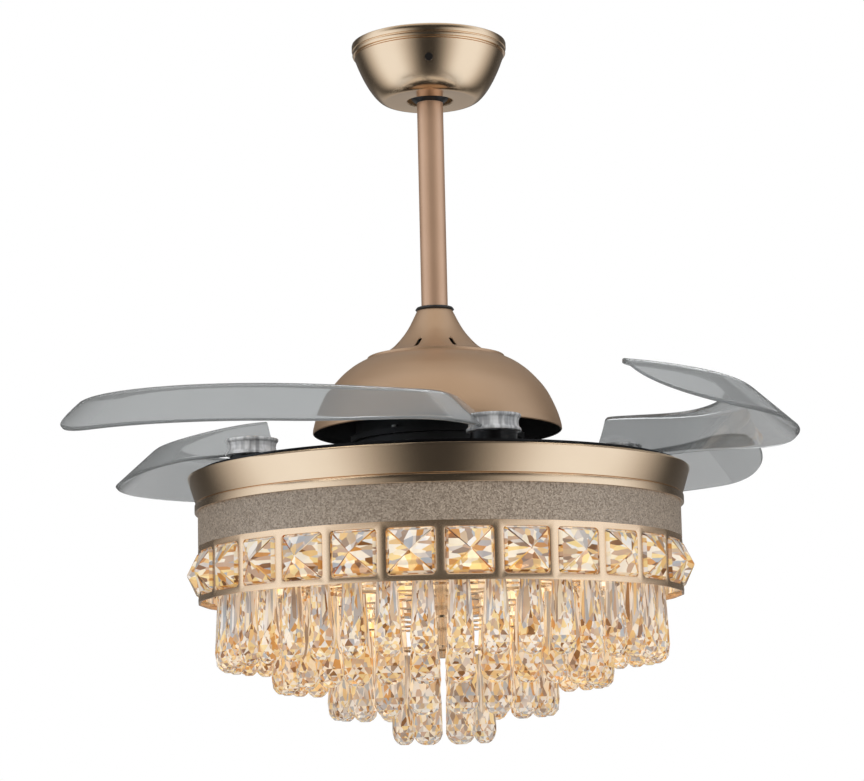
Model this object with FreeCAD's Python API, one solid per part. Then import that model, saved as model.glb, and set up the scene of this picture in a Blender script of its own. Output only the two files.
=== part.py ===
import FreeCAD, Part
import math
import os

# Ceiling fan with four folding blades over a crystal drum light.
# Lengths in millimetres, angles in degrees. The origin is on the ceiling, in the axis of the rod, with +Z up.

# Ceiling to drum
ring_drop = 445.0          # ceiling down to the top edge of the drum
wall = 1.2                 # pressed sheet of canopy, dome and drum
overrun = 5.0              # how far every cutting tool runs past what it cuts
seat_gap = 0.3             # free space between parts that move against each other
run_gap = 0.05             # radial running clearance of a pin in its bore

# Ceiling bracket
bracket_width = 38.0
bracket_sheet = 2.5
bracket_leg_span = 60.0    # over the two legs
ear_width = 16.0
ear_below_screw = 6.0
ear_room = 1.0             # between the ears and the canopy's wall
slot_spacing = 84.0
slot_length = 12.0
slot_width = 5.0
seat_height = 10.0
seat_sheet = 3.0

# Canopy
canopy_rim_radius = 79.0
canopy_height = 60.0
canopy_floor_radius = 45.6
canopy_hole_radius = 23.0
canopy_lip_height = 12.0
canopy_lip_step = 2.2
canopy_fullness_share = 0.5
canopy_lip_corner = 1.5
canopy_screw_radius = 2.0
canopy_screw_head_radius = 4.0
canopy_screw_head_height = 2.2
canopy_screw_depth = 33.0  # below the ceiling

# Radio receiver
receiver_length = 46.0
receiver_width = 34.0
receiver_height = 13.0
receiver_corner = 3.0

# Hanger ball, cross pin and rod
ball_radius = 25.0
ball_depth = 41.0          # ball centre below the ceiling
ball_top_cut = 13.0        # flat top above the ball centre
ball_bottom_cut = 21.0     # flat bottom below the ball centre
rod_radius = 13.35
rod_wall = 2.0
rod_above_ball = 4.0
cross_pin_radius = 3.0
cross_pin_length = 40.0

# Neck collar, yoke and its pin
collar_radius = 19.6
collar_height = 3.4
collar_lip = 1.4
yoke_radius = 16.5
yoke_height = 36.0
yoke_grip = 22.0           # how much of the rod stands in the yoke
yoke_bolt_radius = 2.5
yoke_bolt_head_radius = 4.2
yoke_bolt_head_height = 3.0

# Neck cap and dome
neck_rise = 50.0           # neck over the dome's flat top
neck_radius = 18.0
cap_foot_rise = 2.5
cap_foot_radius = 69.0
dome_over_motor = 51.0
dome_top_radius = 70.0
dome_rim_room = 10.8       # over the blades' hubs
dome_rim_radius = 124.9
dome_seat_radius = 48.0
dome_roll = 2.0
vent_count = 8
vent_length = 15.0
vent_width = 4.2
vent_radius = 45.0

# Hollow shaft, motor and its bearings
shaft_radius = 10.0
shaft_bore_radius = 6.5
shaft_nut_radius = 17.0
shaft_nut_height = 8.0
bearing_radius = 18.0
bearing_height = 9.0
motor_radius = 82.0
motor_wall = 3.0
motor_room = 3.0           # over the turning plate
motor_height = 59.0
motor_flange_width = 5.0
motor_flange_sheet = 3.0
bearing_boss_wall = 4.0
magnet_thickness = 7.0
air_gap = 1.0
pole_count = 12
stator_height = 20.0
stator_yoke_share = 0.507  # of the stator's radius
stator_hub_radius = 22.0
pole_width = 8.0
pole_shoe_depth = 4.0
pole_shoe_width = 24.0
coil_wall = 4.0
motor_screw_count = 6
motor_screw_radius = 1.5
motor_screw_head_radius = 2.4
motor_screw_head_height = 2.0
carrier_radius = 62.0
carrier_sheet = 2.5
carrier_hub_radius = 15.0
carrier_hub_height = 14.0

# Turning plate that carries the blades
plate_inset = 9.0          # inside the top edge of the gold band
plate_rise = 4.0           # over that edge
plate_sheet = 2.0
tray_depth = 9.0           # closed space for the blade gears, measured down from the plate
tray_sheet = 2.0
tray_inset = 6.0
tray_bore_radius = 26.0
spacer_wall = 7.0          # ring between the plate and the motor
boss_radius = 22.0
boss_height = 12.5

# Blade pivots
blade_count = 4
pivot_inset = 51.0         # from the plate's edge
first_pivot_angle = -74.0
pivot_pin_radius = 5.0
pivot_head_radius = 8.0
pivot_head_height = 2.4
barrel_radius = 26.0
barrel_waist_radius = 23.5
barrel_flange = 2.6
barrel_lift = 0.7          # over the boss
barrel_height = 16.0

# Gears that keep the blades together
pinion_tooth_count = 28    # on a full circle
ring_tooth_count = 160
pinion_cut_count = 13      # teeth that are cut on each pinion
ring_cut_count = 12        # teeth that are cut beside each pinion
gear_height = 6.0
backlash = 0.22
pressure_angle = 20.0
addendum_share = 1.0
dedendum_share = 1.25
sync_ring_width = 15.0
guide_wall = 3.0
sleeve_radius = 12.0

# Blade
blade_thickness = 2.6
blade_edge_room = 14.0     # outer edge beyond its pivot, blade folded
blade_arc_offset = 28.0    # centre of the edge's arc beyond the fan's axis, blade folded
blade_edge_height = 8.0
blade_rise_linear = 3.0    # lift along the blade from root to tip
blade_rise_square = 10.0
blade_sweep = 142.0        # angle from root to tip about the arc's centre
blade_tip_width = 74.0
blade_mid_width = 68.0
blade_root_width = 58.0
blade_crease = 42.0        # from the outer edge to the lengthwise crease
blade_root_crease = 53.0
blade_skirt_angle = 42.5   # pitch of the panel outside the crease
blade_deck_angle = 2.5     # pitch of the panel inside it
blade_open_angle = 54.0    # how far the blade stands open from its folded drawing
blade_root_turn = 7.0      # angles of the root's inner and outer corners
blade_heel_turn = -4.0
blade_heel = 24.0
barrel_room = 3.0          # free ring that the skirt leaves round the barrel
section_turn_shares = (-0.08, 0.0, 0.1, 0.22, 0.36, 0.52, 0.7, 0.86, 1.04)
root_fade_share = 0.2      # share of the sweep over which the root's shape fades out

# Drum: pan, gold band, glitter band
band_top_radius = 250.0
band_lip = 2.4
band_flare = 8.0           # foot of the flared part inside its top
band_flare_height = 27.0
band_step_out = 1.4
band_step_height = 8.3
band_step_slope = 0.8
pan_inset = 12.0           # pan's rim inside the top of the band
pan_room = 7.0             # between the gear tray and the pan
glitter_thickness = 2.2
glitter_height = 34.7

# Crystal frame and its square crystals
window_count = 28
frame_proud = 2.8          # beyond the pan's rim
frame_wall = 2.0
frame_height = 54.5
rail_height = 6.0
mullion_width = 9.6
window_corner = 5.0
frame_flange_width = 10.0
square_overlap = 1.6       # crystal behind the edge of its window
square_back = 4.0
square_table_share = 0.12
square_corner_share = 0.2
square_proud = 6.0         # point of the crystal beyond the frame
square_gap = 0.9           # crystal front inside its window

# Lamp board, lamps and driver
board_inset = 33.0         # from the pan's rim
board_inner_radius = 95.0
board_sheet = 1.6
lamp_counts = (28, 18)
lamp_room = 20.0           # outer ring of lamps from the board's outer edge
lamp_inner_room = 35.0     # inner ring of lamps from the board's inner edge
lamp_size = 7.0
lamp_height = 3.0
driver_length = 70.0
driver_width = 34.0
driver_height = 22.0
driver_offset = 52.0

# Hanging crystals, from the outer tier to the inner one
tier_radius_shares = (0.899, 0.668, 0.437, 0.181)
tier_depths = (66.5, 89.5, 116.5, 141.5)    # tips of the crystals below the frame
tier_counts = (40, 30, 18, 8)
drop_length = 86.0
drop_width = 23.0
drop_depth = 17.0
drop_sides = 6
drop_height_shares = (0.0, 0.07, 0.2, 1.0)
drop_girth_shares = (0.36, 0.8, 1.0, 0.42)
hook_side = 1.8
hook_length = 6.0
tier_ring_width = 8.0
tier_ring_sheet = 2.0
spoke_count = 4
post_collar_radius = 11.0
post_collar_height = 8.0
post_in_shaft = 12.0

# Levels that follow from the sizes above
ring_z = -ring_drop
plate_top = ring_z + plate_rise
plate_bottom = plate_top - plate_sheet
tray_floor = plate_bottom - tray_depth
boss_top = plate_top + boss_height
barrel_bottom = boss_top + barrel_lift
barrel_top = barrel_bottom + barrel_height
pan_top = tray_floor - tray_sheet - pan_room
pan_bottom = pan_top - wall
band_foot = ring_z - band_flare_height
band_step = band_foot - band_step_height
frame_top = band_step - glitter_height
frame_foot = frame_top - frame_height
ball_z = -ball_depth
motor_bottom = plate_top + motor_room
motor_top = motor_bottom + motor_height
motor_joint = (motor_bottom + motor_top) / 2
dome_rim = barrel_top + dome_rim_room
dome_top = motor_top + dome_over_motor
carrier_top = dome_top - wall
neck_top = dome_top + neck_rise
yoke_bottom = neck_top - yoke_height
rod_bottom = neck_top - yoke_grip

# Radii that follow from the drum's top edge
pan_radius = band_top_radius - pan_inset
frame_radius = pan_radius + frame_proud
plate_radius = band_top_radius - plate_inset
tray_radius = plate_radius - tray_inset
pivot_ring_radius = plate_radius - pivot_inset
blade_arc_radius = pivot_ring_radius + blade_edge_room + blade_arc_offset
pivot_angles = [first_pivot_angle + 360.0 * k / blade_count for k in range(blade_count)]
module = 2 * pivot_ring_radius / (pinion_tooth_count + ring_tooth_count)

up = FreeCAD.Vector(0, 0, 1)
origin = FreeCAD.Vector(0, 0, 0)
outwards = FreeCAD.Vector(1, 0, 0)
backwards = FreeCAD.Vector(0, 1, 0)
parallel_share = 0.9


def vec(x, y, z):
    return FreeCAD.Vector(x, y, z)


def cylinder(radius, low, high, x=0, y=0):
    return Part.makeCylinder(radius, high - low, vec(x, y, low))


def tube(outer, inner, low, high, x=0, y=0):
    solid = cylinder(outer, low, high, x, y)
    return solid.cut(cylinder(inner, low - overrun, high + overrun, x, y))


def block(length, width, low, high, x=0, y=0):
    return Part.makeBox(length, width, high - low, vec(x - length / 2, y - width / 2, low))


def turned(points):
    """Solid of revolution about Z from a closed outline of (radius, z) points."""
    corners = [vec(r, 0, z) for r, z in points]
    face = Part.Face(Part.makePolygon(corners + corners[:1]))
    return face.revolve(origin, up, 360)


def turned_shell(outline, thickness):
    """Revolved sheet of even thickness inside an outline of (radius, z) points that runs downwards."""
    inner = []
    before = outline[:1] + outline[:-1]
    after = outline[1:] + outline[-1:]
    for (r0, z0), (r, z), (r1, z1) in zip(before, outline, after):
        size = math.hypot(r1 - r0, z1 - z0)
        inner.append((r + (z1 - z0) / size * thickness, z - (r1 - r0) / size * thickness))
    return turned(outline + inner[::-1])


def faceted(rings):
    """Solid between closed rings of points, each side face flat between two rings."""
    faces = []
    for low, high in zip(rings[:-1], rings[1:]):
        for i in range(len(low)):
            j = (i + 1) % len(low)
            faces.append(Part.Face(Part.makePolygon([low[i], low[j], high[j], high[i], low[i]])))
    for ring in (rings[0], rings[-1]):
        faces.append(Part.Face(Part.makePolygon(ring + ring[:1])))
    return Part.makeSolid(Part.makeShell(faces))


def turn(shape, angle, centre=origin):
    copy = shape.copy()
    copy.rotate(centre, up, angle)
    return copy


def around(shape, count, first=0.0):
    return [turn(shape, first + 360.0 * i / count) for i in range(count)]


def screw(radius, length, head_radius, head_height):
    """Screw along +X with its head outside x = 0."""
    shank = Part.makeCylinder(radius, length, vec(-length, 0, 0), outwards)
    head = Part.makeCylinder(head_radius, head_height, origin, outwards)
    return shank.fuse(head).removeSplitter()


def edges_along(shape, axis):
    return [e for e in shape.Edges if abs(e.tangentAt(e.FirstParameter).dot(axis)) > parallel_share]


def moved(shape, x, y, z):
    copy = shape.copy()
    copy.translate(vec(x, y, z))
    return copy


def save(name, shape):
    if isinstance(shape, list):
        shape = shape[0] if len(shape) == 1 else Part.makeCompound(shape)
    shape.exportStep("parts/" + name + ".step")


os.makedirs("parts", exist_ok=True)


# Canopy: a spun bowl with a stepped lip and a hole for the ball
lip_inner = canopy_rim_radius - canopy_lip_step
bowl_height = canopy_height - canopy_lip_height


def bowl_radius(angle):
    full = canopy_fullness_share * math.sin(angle)
    lean = (1 - canopy_fullness_share) * (1 - math.cos(angle))
    return canopy_floor_radius + (lip_inner - canopy_floor_radius) * (full + lean)


def bowl_depth(angle):
    return canopy_height - bowl_height * (1 - math.cos(angle))


def bowl_angle(depth):
    return math.acos(1 - (canopy_height - depth) / bowl_height)


bowl_step_count = 6
bowl_angles = [math.pi / 2 * (1 - i / bowl_step_count) for i in range(bowl_step_count + 1)]
bowl = [(bowl_radius(a), -bowl_depth(a)) for a in bowl_angles]
lip = [(canopy_rim_radius, 0), (canopy_rim_radius, canopy_lip_corner - canopy_lip_height),
       (canopy_rim_radius - canopy_lip_corner, -canopy_lip_height)]
canopy = turned_shell(lip + bowl + [(canopy_hole_radius, -canopy_height)], wall)

# Ceiling bracket: a strap with two slots and two bent ears, two legs and a round seat for the ball
ear_low = -canopy_screw_depth - ear_below_screw
ear_reach = bowl_radius(bowl_angle(-ear_low)) - wall - ear_room
ear_face = math.sqrt(ear_reach ** 2 - (ear_width / 2) ** 2)
seat_radius = ball_radius + seat_gap
seat_low = ball_z - seat_height
leg_inside = bracket_leg_span / 2 - bracket_sheet
strap = block(bracket_width, 2 * ear_face, -bracket_sheet, 0)
for side in (-1, 1):
    slot_y = side * slot_spacing / 2
    slot_low = -bracket_sheet - overrun
    slot_run = slot_length - slot_width
    slot = block(slot_width, slot_run, slot_low, overrun, 0, slot_y)
    for end in (-1, 1):
        slot = slot.fuse(cylinder(slot_width / 2, slot_low, overrun, 0, slot_y + end * slot_run / 2))
    ear = block(ear_width, bracket_sheet, ear_low, 0, 0, side * (ear_face - bracket_sheet / 2))
    strap = strap.cut(slot).fuse(ear)
legs = block(bracket_leg_span, bracket_width, seat_low, 0)
legs = legs.cut(block(2 * leg_inside, bracket_width + 2 * overrun, seat_low + seat_sheet, -bracket_sheet))
ball_space = Part.makeSphere(seat_radius, vec(0, 0, ball_z))
ceiling_bracket = strap.fuse(legs)
ceiling_bracket = ceiling_bracket.cut(ball_space)

# Two screws pass through the canopy's wall into the bracket's ears
screw_seat = bowl_radius(bowl_angle(canopy_screw_depth - canopy_screw_head_radius))
screw_length = screw_seat - ear_face + 2 * bracket_sheet
canopy_screw = screw(canopy_screw_radius, screw_length, canopy_screw_head_radius, canopy_screw_head_height)
canopy_screws = around(moved(canopy_screw, screw_seat, 0, -canopy_screw_depth), 2, 90.0)
screw_start = vec(0, -2 * ear_face, -canopy_screw_depth)
screw_holes = Part.makeCylinder(canopy_screw_radius, 4 * ear_face, screw_start, backwards)
ceiling_bracket = ceiling_bracket.cut(screw_holes).removeSplitter()
canopy = canopy.cut(screw_holes)
save("ceiling_bracket", ceiling_bracket)
save("canopy", canopy)
save("canopy_screws", canopy_screws)

# Radio receiver under the strap, between the legs
receiver_low = -bracket_sheet - receiver_height
receiver = block(receiver_length, receiver_width, receiver_low, -bracket_sheet)
save("receiver", receiver.makeFillet(receiver_corner, edges_along(receiver, up)))

# Hanger ball with its cross pin, and the rod
rod_top = ball_z + ball_top_cut + rod_above_ball
ball_slice = tube(ball_radius + overrun, rod_radius, ball_z - ball_bottom_cut, ball_z + ball_top_cut)
ball = Part.makeSphere(ball_radius, vec(0, 0, ball_z)).common(ball_slice)
pin_start = vec(0, -cross_pin_length / 2, ball_z)
cross_pin = Part.makeCylinder(cross_pin_radius, cross_pin_length, pin_start, backwards)
rod = tube(rod_radius, rod_radius - rod_wall, rod_bottom, rod_top)
yoke_pin_z = neck_top - yoke_grip / 2
yoke_pin_length = 2 * yoke_radius + yoke_bolt_head_height
yoke_pin_start = vec(0, -yoke_radius, yoke_pin_z)
yoke_pin = Part.makeCylinder(yoke_bolt_radius, yoke_pin_length, yoke_pin_start, backwards)
head_start = vec(0, -yoke_radius - yoke_bolt_head_height, yoke_pin_z)
yoke_head = Part.makeCylinder(yoke_bolt_head_radius, yoke_bolt_head_height, head_start, backwards)
yoke_bolt = yoke_pin.fuse(yoke_head)
save("hanger_ball", ball.cut(cross_pin))
save("hanger_pin", cross_pin)
save("downrod", rod.cut(cross_pin).cut(yoke_pin))
save("yoke_bolt", yoke_bolt)

# Yoke that joins the rod to the motor's hollow shaft
shaft_top = rod_bottom - wall
yoke = cylinder(yoke_radius, yoke_bottom, neck_top)
yoke = yoke.cut(cylinder(rod_radius, rod_bottom, neck_top + overrun))
yoke = yoke.cut(cylinder(shaft_radius, yoke_bottom - overrun, shaft_top))
yoke = yoke.cut(cylinder(shaft_bore_radius, yoke_bottom, rod_bottom + overrun)).cut(yoke_pin)
yoke_screw_z = (yoke_bottom + shaft_top) / 2
screw_start = vec(-yoke_height, 0, yoke_screw_z)
screw_hole = Part.makeCylinder(yoke_bolt_radius, 2 * yoke_height, screw_start, outwards)
yoke_screw = Part.makeCylinder(yoke_bolt_radius, yoke_radius - shaft_radius + wall, origin, outwards)
save("yoke", yoke.cut(screw_hole))
save("yoke_screws", around(moved(yoke_screw, shaft_radius, 0, yoke_screw_z), 2))

# Collar on the neck
collar_top = neck_top + collar_height
collar = turned([(rod_radius, neck_top), (collar_radius - collar_lip, neck_top),
                 (collar_radius, neck_top + collar_lip), (collar_radius - collar_lip, collar_top),
                 (rod_radius, collar_top)])
save("neck_collar", collar)

# Neck cap: a flared cone with a ring of vent slots
cap_height = neck_rise - cap_foot_rise
cap_run_shares = (0.0, 0.16, 0.3, 0.5, 0.72, 1.0)
cap_fall_shares = (0.0, 0.34, 0.56, 0.79, 0.93, 1.0)
cap_outline = [(neck_radius + (cap_foot_radius - neck_radius) * run, neck_top - cap_height * fall)
               for run, fall in zip(cap_run_shares, cap_fall_shares)]
neck_cap = turned_shell(cap_outline + [(cap_foot_radius, dome_top)], wall)
vent = block(vent_length, vent_width, dome_top, neck_top, vent_radius)
neck_cap = neck_cap.cut(around(vent, vent_count, 180.0 / vent_count - 90.0))
save("neck_cap", neck_cap)

# Dome over the motor: seat, shoulder and skirt with a rolled rim
dome_fall = dome_top - dome_rim
dome_run_shares = (0.0, 0.14, 0.3, 0.5, 0.74, 0.91, 0.985, 1.0)
dome_fall_shares = (0.0, 0.06, 0.15, 0.225, 0.47, 0.74, 0.92, 1.0)
dome_outline = [(dome_top_radius + (dome_rim_radius - dome_top_radius) * run, dome_top - dome_fall * fall)
                for run, fall in zip(dome_run_shares, dome_fall_shares)]
dome_hem = (dome_rim_radius - dome_roll, dome_rim - wall)
save("dome_cover", turned_shell([(dome_seat_radius, dome_top)] + dome_outline + [dome_hem], wall))

# Carrier disc on the shaft, under the dome's top
shaft_bottom = pan_bottom - shaft_nut_height - wall
carrier = tube(carrier_radius, shaft_radius, carrier_top - carrier_sheet, carrier_top)
carrier = carrier.fuse(tube(carrier_hub_radius, shaft_radius, carrier_top - carrier_hub_height, carrier_top))
save("dome_carrier", carrier.removeSplitter())
save("hollow_shaft", tube(shaft_radius, shaft_bore_radius, shaft_bottom, shaft_top))
nut_side_count = 6
nut_angles = [2 * math.pi * i / nut_side_count for i in range(nut_side_count)]
nut_ring = [(shaft_nut_radius * math.cos(a), shaft_nut_radius * math.sin(a)) for a in nut_angles]
nut = faceted([[vec(x, y, z) for x, y in nut_ring] for z in (pan_bottom - shaft_nut_height, pan_bottom)])
save("shaft_nut", nut.cut(cylinder(shaft_radius, shaft_bottom - overrun, pan_top)))

# Motor: two shells that turn, with bearings and magnets inside
boss_outer = bearing_radius + bearing_boss_wall
lower_seat = motor_bottom + motor_wall
upper_seat = motor_top - motor_wall
motor_inner = motor_radius - motor_wall
flange_radius = motor_radius + motor_flange_width


def motor_shell(end, seat, side):
    """Half of the motor's case; side is 1 for the lower half and -1 for the upper one."""
    boss_end = seat + side * bearing_height
    flange = motor_joint - side * motor_flange_sheet
    return turned([(bearing_radius - motor_wall, end), (motor_radius, end), (motor_radius, flange),
                   (flange_radius, flange), (flange_radius, motor_joint), (motor_inner, motor_joint),
                   (motor_inner, seat), (boss_outer, seat), (boss_outer, boss_end),
                   (bearing_radius, boss_end), (bearing_radius, seat), (bearing_radius - motor_wall, seat)])


lower_shell = motor_shell(motor_bottom, lower_seat, 1)
upper_shell = motor_shell(motor_top, upper_seat, -1)
flange_low = motor_joint - motor_flange_sheet
flange_high = motor_joint + motor_flange_sheet
motor_screw = cylinder(motor_screw_radius, flange_low, flange_high)
motor_screw_top = flange_high + motor_screw_head_height
motor_screw = motor_screw.fuse(cylinder(motor_screw_head_radius, flange_high, motor_screw_top))
motor_screws = around(moved(motor_screw, motor_radius + motor_flange_width / 2, 0, 0), motor_screw_count)
lower_shell = lower_shell.cut(motor_screws)
upper_shell = upper_shell.cut(motor_screws)
save("motor_screws", motor_screws)
for name, low in (("lower_bearing", lower_seat), ("upper_bearing", upper_seat - bearing_height)):
    save(name, tube(bearing_radius, shaft_radius + run_gap, low, low + bearing_height))
magnet_inner = motor_inner - magnet_thickness
stator_radius = magnet_inner - air_gap
stator_yoke_radius = stator_radius * stator_yoke_share
stator_low = motor_joint - stator_height / 2
stator_high = motor_joint + stator_height / 2
save("magnet_ring", tube(motor_inner, magnet_inner, stator_low, stator_high))
save("motor_upper_shell", upper_shell)
save("motor_lower_shell", lower_shell)

# Stator on the shaft: hub, yoke, poles with shoes, and one coil on each pole
pole_root = stator_yoke_radius - pole_shoe_depth
pole_reach = stator_radius - pole_root
pole = block(pole_reach, pole_width, stator_low, stator_high, pole_root + pole_reach / 2)
shoe_x = stator_radius - pole_shoe_depth / 2
shoe = block(2 * pole_shoe_depth, pole_shoe_width, stator_low, stator_high, shoe_x)
stator = tube(stator_yoke_radius, stator_hub_radius, stator_low, stator_high)
stator = stator.fuse(around(pole.fuse(shoe), pole_count))
stator = stator.common(cylinder(stator_radius, stator_low - overrun, stator_high + overrun))
stator_hub = tube(stator_hub_radius, shaft_radius, stator_low, stator_high)
save("stator_core", stator.fuse(stator_hub).removeSplitter())
coil_length = stator_radius - 2 * pole_shoe_depth - stator_yoke_radius
coil_x = stator_yoke_radius + pole_shoe_depth / 2 + coil_length / 2
coil_width = pole_width + 2 * coil_wall
coil_low = stator_low - coil_wall
coil_high = stator_high + coil_wall
coil = block(coil_length - pole_shoe_depth, coil_width, coil_low, coil_high, coil_x)
coil = coil.cut(block(coil_length + overrun, pole_width, stator_low, stator_high, coil_x))
save("stator_coils", around(coil, pole_count))

# Turning plate, with one raised boss for each blade, over a tray that holds the gears
sleeve_bore = sleeve_radius + run_gap
boss = cylinder(boss_radius, plate_bottom, boss_top, pivot_ring_radius)
boss_bore = cylinder(sleeve_bore, tray_floor, boss_top + overrun, pivot_ring_radius)
bosses = [turn(boss, a) for a in pivot_angles]
boss_bores = [turn(boss_bore, a) for a in pivot_angles]
plate = tube(plate_radius, bearing_radius - motor_wall, plate_bottom, plate_top)
plate = plate.fuse(bosses).cut(boss_bores)
spacer = tube(motor_radius, motor_radius - spacer_wall, plate_top, motor_bottom)
plate = plate.fuse(spacer).removeSplitter()
save("blade_plate", plate)
tray_low = tray_floor - tray_sheet
guide_radius = module * ring_tooth_count / 2 - sync_ring_width - run_gap
guide_inner = guide_radius - guide_wall
tray = turned([(tray_bore_radius, tray_low), (tray_radius, tray_low), (tray_radius, plate_bottom),
               (tray_radius - tray_sheet, plate_bottom), (tray_radius - tray_sheet, tray_floor),
               (guide_radius, tray_floor), (guide_radius, plate_bottom), (guide_inner, plate_bottom),
               (guide_inner, tray_floor), (tray_bore_radius, tray_floor)])
save("gear_tray", tray)

# Pivot pins stand on the tray and end in a flat head over the blade
pin_top = barrel_top + seat_gap
pivot_pin = cylinder(pivot_pin_radius, tray_floor, pin_top + pivot_head_height)
pivot_pin = pivot_pin.fuse(cylinder(pivot_head_radius, pin_top, pin_top + pivot_head_height)).removeSplitter()
save("pivot_pins", [turn(moved(pivot_pin, pivot_ring_radius, 0, 0), a) for a in pivot_angles])

# Gears: an involute tooth drawn with straight flanks between its root, its middle and its tip


def involute(angle):
    return math.tan(angle) - angle


def tooth(tooth_count, place):
    """Corner points of one tooth, as (radius, angle), in turning order."""
    pitch_radius = module * tooth_count / 2
    base_radius = pitch_radius * math.cos(math.radians(pressure_angle))
    root = pitch_radius - dedendum_share * module
    tip = pitch_radius + addendum_share * module
    pitch_half = math.pi / (2 * tooth_count) - backlash / (4 * pitch_radius)
    half = pitch_half + involute(math.radians(pressure_angle))
    centre = 2 * math.pi * place / tooth_count
    start = max(root, base_radius)
    flank = [(root, half)] if root < base_radius else []
    for radius in (start, (start + tip) / 2, tip):
        flank.append((radius, half - involute(math.acos(base_radius / radius))))
    rising = [(r, centre - a) for r, a in flank]
    falling = [(r, centre + a) for r, a in reversed(flank)]
    return rising + falling


def polar(points):
    return [vec(r * math.cos(a), r * math.sin(a), 0) for r, a in points]


gear_low = tray_floor + seat_gap


def gear(outline_points):
    face = Part.Face(Part.makePolygon(outline_points + outline_points[:1]))
    solid = face.extrude(vec(0, 0, gear_height))
    return moved(solid, 0, 0, gear_low)


pinion_root = module * (pinion_tooth_count / 2 - dedendum_share)
pinion_points = []
for index in range(pinion_cut_count):
    pinion_points += tooth(pinion_tooth_count, index - (pinion_cut_count - 1) / 2)
back_step_count = 6
last_angle = pinion_points[-1][1]
free_arc = 2 * math.pi - (last_angle - pinion_points[0][1])
pinion_points += [(pinion_root, last_angle + free_arc * i / back_step_count)
                  for i in range(1, back_step_count)]
pinion = turn(gear(polar(pinion_points)), 180.0)
pin_bore = pivot_pin_radius + run_gap
pinion = pinion.fuse(cylinder(sleeve_radius, gear_low, barrel_bottom))
pinion = pinion.cut(cylinder(pin_bore, gear_low - overrun, barrel_bottom + overrun))
pinion = moved(pinion, pivot_ring_radius, 0, 0)
for number, angle in enumerate(pivot_angles, 1):
    save("blade_gear_%d" % number, turn(pinion, angle))

sync_root = module * (ring_tooth_count / 2 - dedendum_share)
sync_points = []
blank_step_count = 8
for angle in pivot_angles:
    start = math.radians(angle)
    sector = []
    for index in range(ring_cut_count):
        sector += tooth(ring_tooth_count, index - (ring_cut_count - 1) / 2)
    sync_points += [(r, a + start) for r, a in sector]
    blank = 2 * math.pi / blade_count - (sector[-1][1] - sector[0][1])
    edge = start + sector[-1][1]
    sync_points += [(sync_root, edge + blank * i / blank_step_count) for i in range(1, blank_step_count)]
sync_ring = gear(polar(sync_points)).cut(cylinder(guide_radius + run_gap, tray_floor, plate_bottom))
save("sync_ring", sync_ring)

# Blade, drawn folded round the fan's axis: a sloping skirt outside a crease and a nearly flat deck inside
skirt = math.radians(blade_skirt_angle)
deck = math.radians(blade_deck_angle)
crease_tilt = (skirt + deck) / 2
blade_full_width = blade_tip_width + blade_thickness


def blade_point(inward, turn_angle, height):
    radius = blade_arc_radius - inward
    angle = -math.radians(turn_angle)
    return vec(radius * math.cos(angle) - blade_arc_offset, radius * math.sin(angle), ring_z + height)


def root_fade(share):
    return math.exp(-(max(share, 0) / root_fade_share) ** 2)


def blade_section(share):
    along = max(share, 0)
    turn_angle = blade_sweep * share
    edge = blade_edge_height + blade_rise_linear * along + blade_rise_square * along ** 2
    crease = blade_crease + (blade_root_crease - blade_crease) * root_fade(share)
    crease_height = edge + crease * math.tan(skirt)
    deck_height = crease_height + (blade_full_width - crease) * math.tan(deck)
    bend = blade_thickness / math.cos((skirt - deck) / 2)
    upper = [(0, edge), (crease, crease_height), (blade_full_width, deck_height)]
    lower = []
    for inward, height, thickness, tilt in ((blade_full_width, deck_height, blade_thickness, deck),
                                            (crease, crease_height, bend, crease_tilt),
                                            (0, edge, blade_thickness, skirt)):
        lower.append((inward + thickness * math.sin(tilt), height - thickness * math.cos(tilt)))
    corners = [blade_point(d, turn_angle, z) for d, z in upper + lower]
    return Part.makePolygon(corners + corners[:1])


tip_step_count = 6


def blade_plan():
    """Closed outline of the blade seen from above, wide of its outer edge."""
    tip_reach = math.degrees(blade_tip_width / 2 / (blade_arc_radius - blade_tip_width / 2))
    bend_turn = blade_sweep - tip_reach
    edge = []
    for step in range(tip_step_count + 1):
        a = math.pi * step / tip_step_count
        inward = blade_tip_width / 2 * (1 - math.cos(a))
        edge.append((inward, bend_turn + tip_reach * math.sin(a)))
    inner_shares = (0.75, 0.5, 0.3, 0.16)
    for share in inner_shares:
        widen = (blade_tip_width - blade_mid_width) * max(0, 2 * share - 1) ** 2
        narrow = (blade_mid_width - blade_root_width) * root_fade(share)
        edge.append((blade_mid_width + widen - narrow, bend_turn * share))
    edge.append((blade_root_width, blade_root_turn))
    curve = Part.BSplineCurve()
    curve.interpolate([blade_point(d, t, 0) for d, t in edge])
    rim = [blade_point(d, t, 0) for d, t in
           (edge[-1], (blade_heel, blade_heel_turn), (-overrun, blade_heel_turn))]
    outer = [blade_point(-overrun, t, 0) for t in (blade_heel_turn, bend_turn / 2, bend_turn)]
    back = Part.Arc(outer[0], outer[1], outer[2]).toShape()
    close = Part.makeLine(outer[2], blade_point(0, bend_turn, 0))
    heel = [Part.makeLine(rim[0], rim[1]), Part.makeLine(rim[1], rim[2])]
    return Part.Face(Part.Wire([curve.toShape()] + heel + [back, close]))


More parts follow.
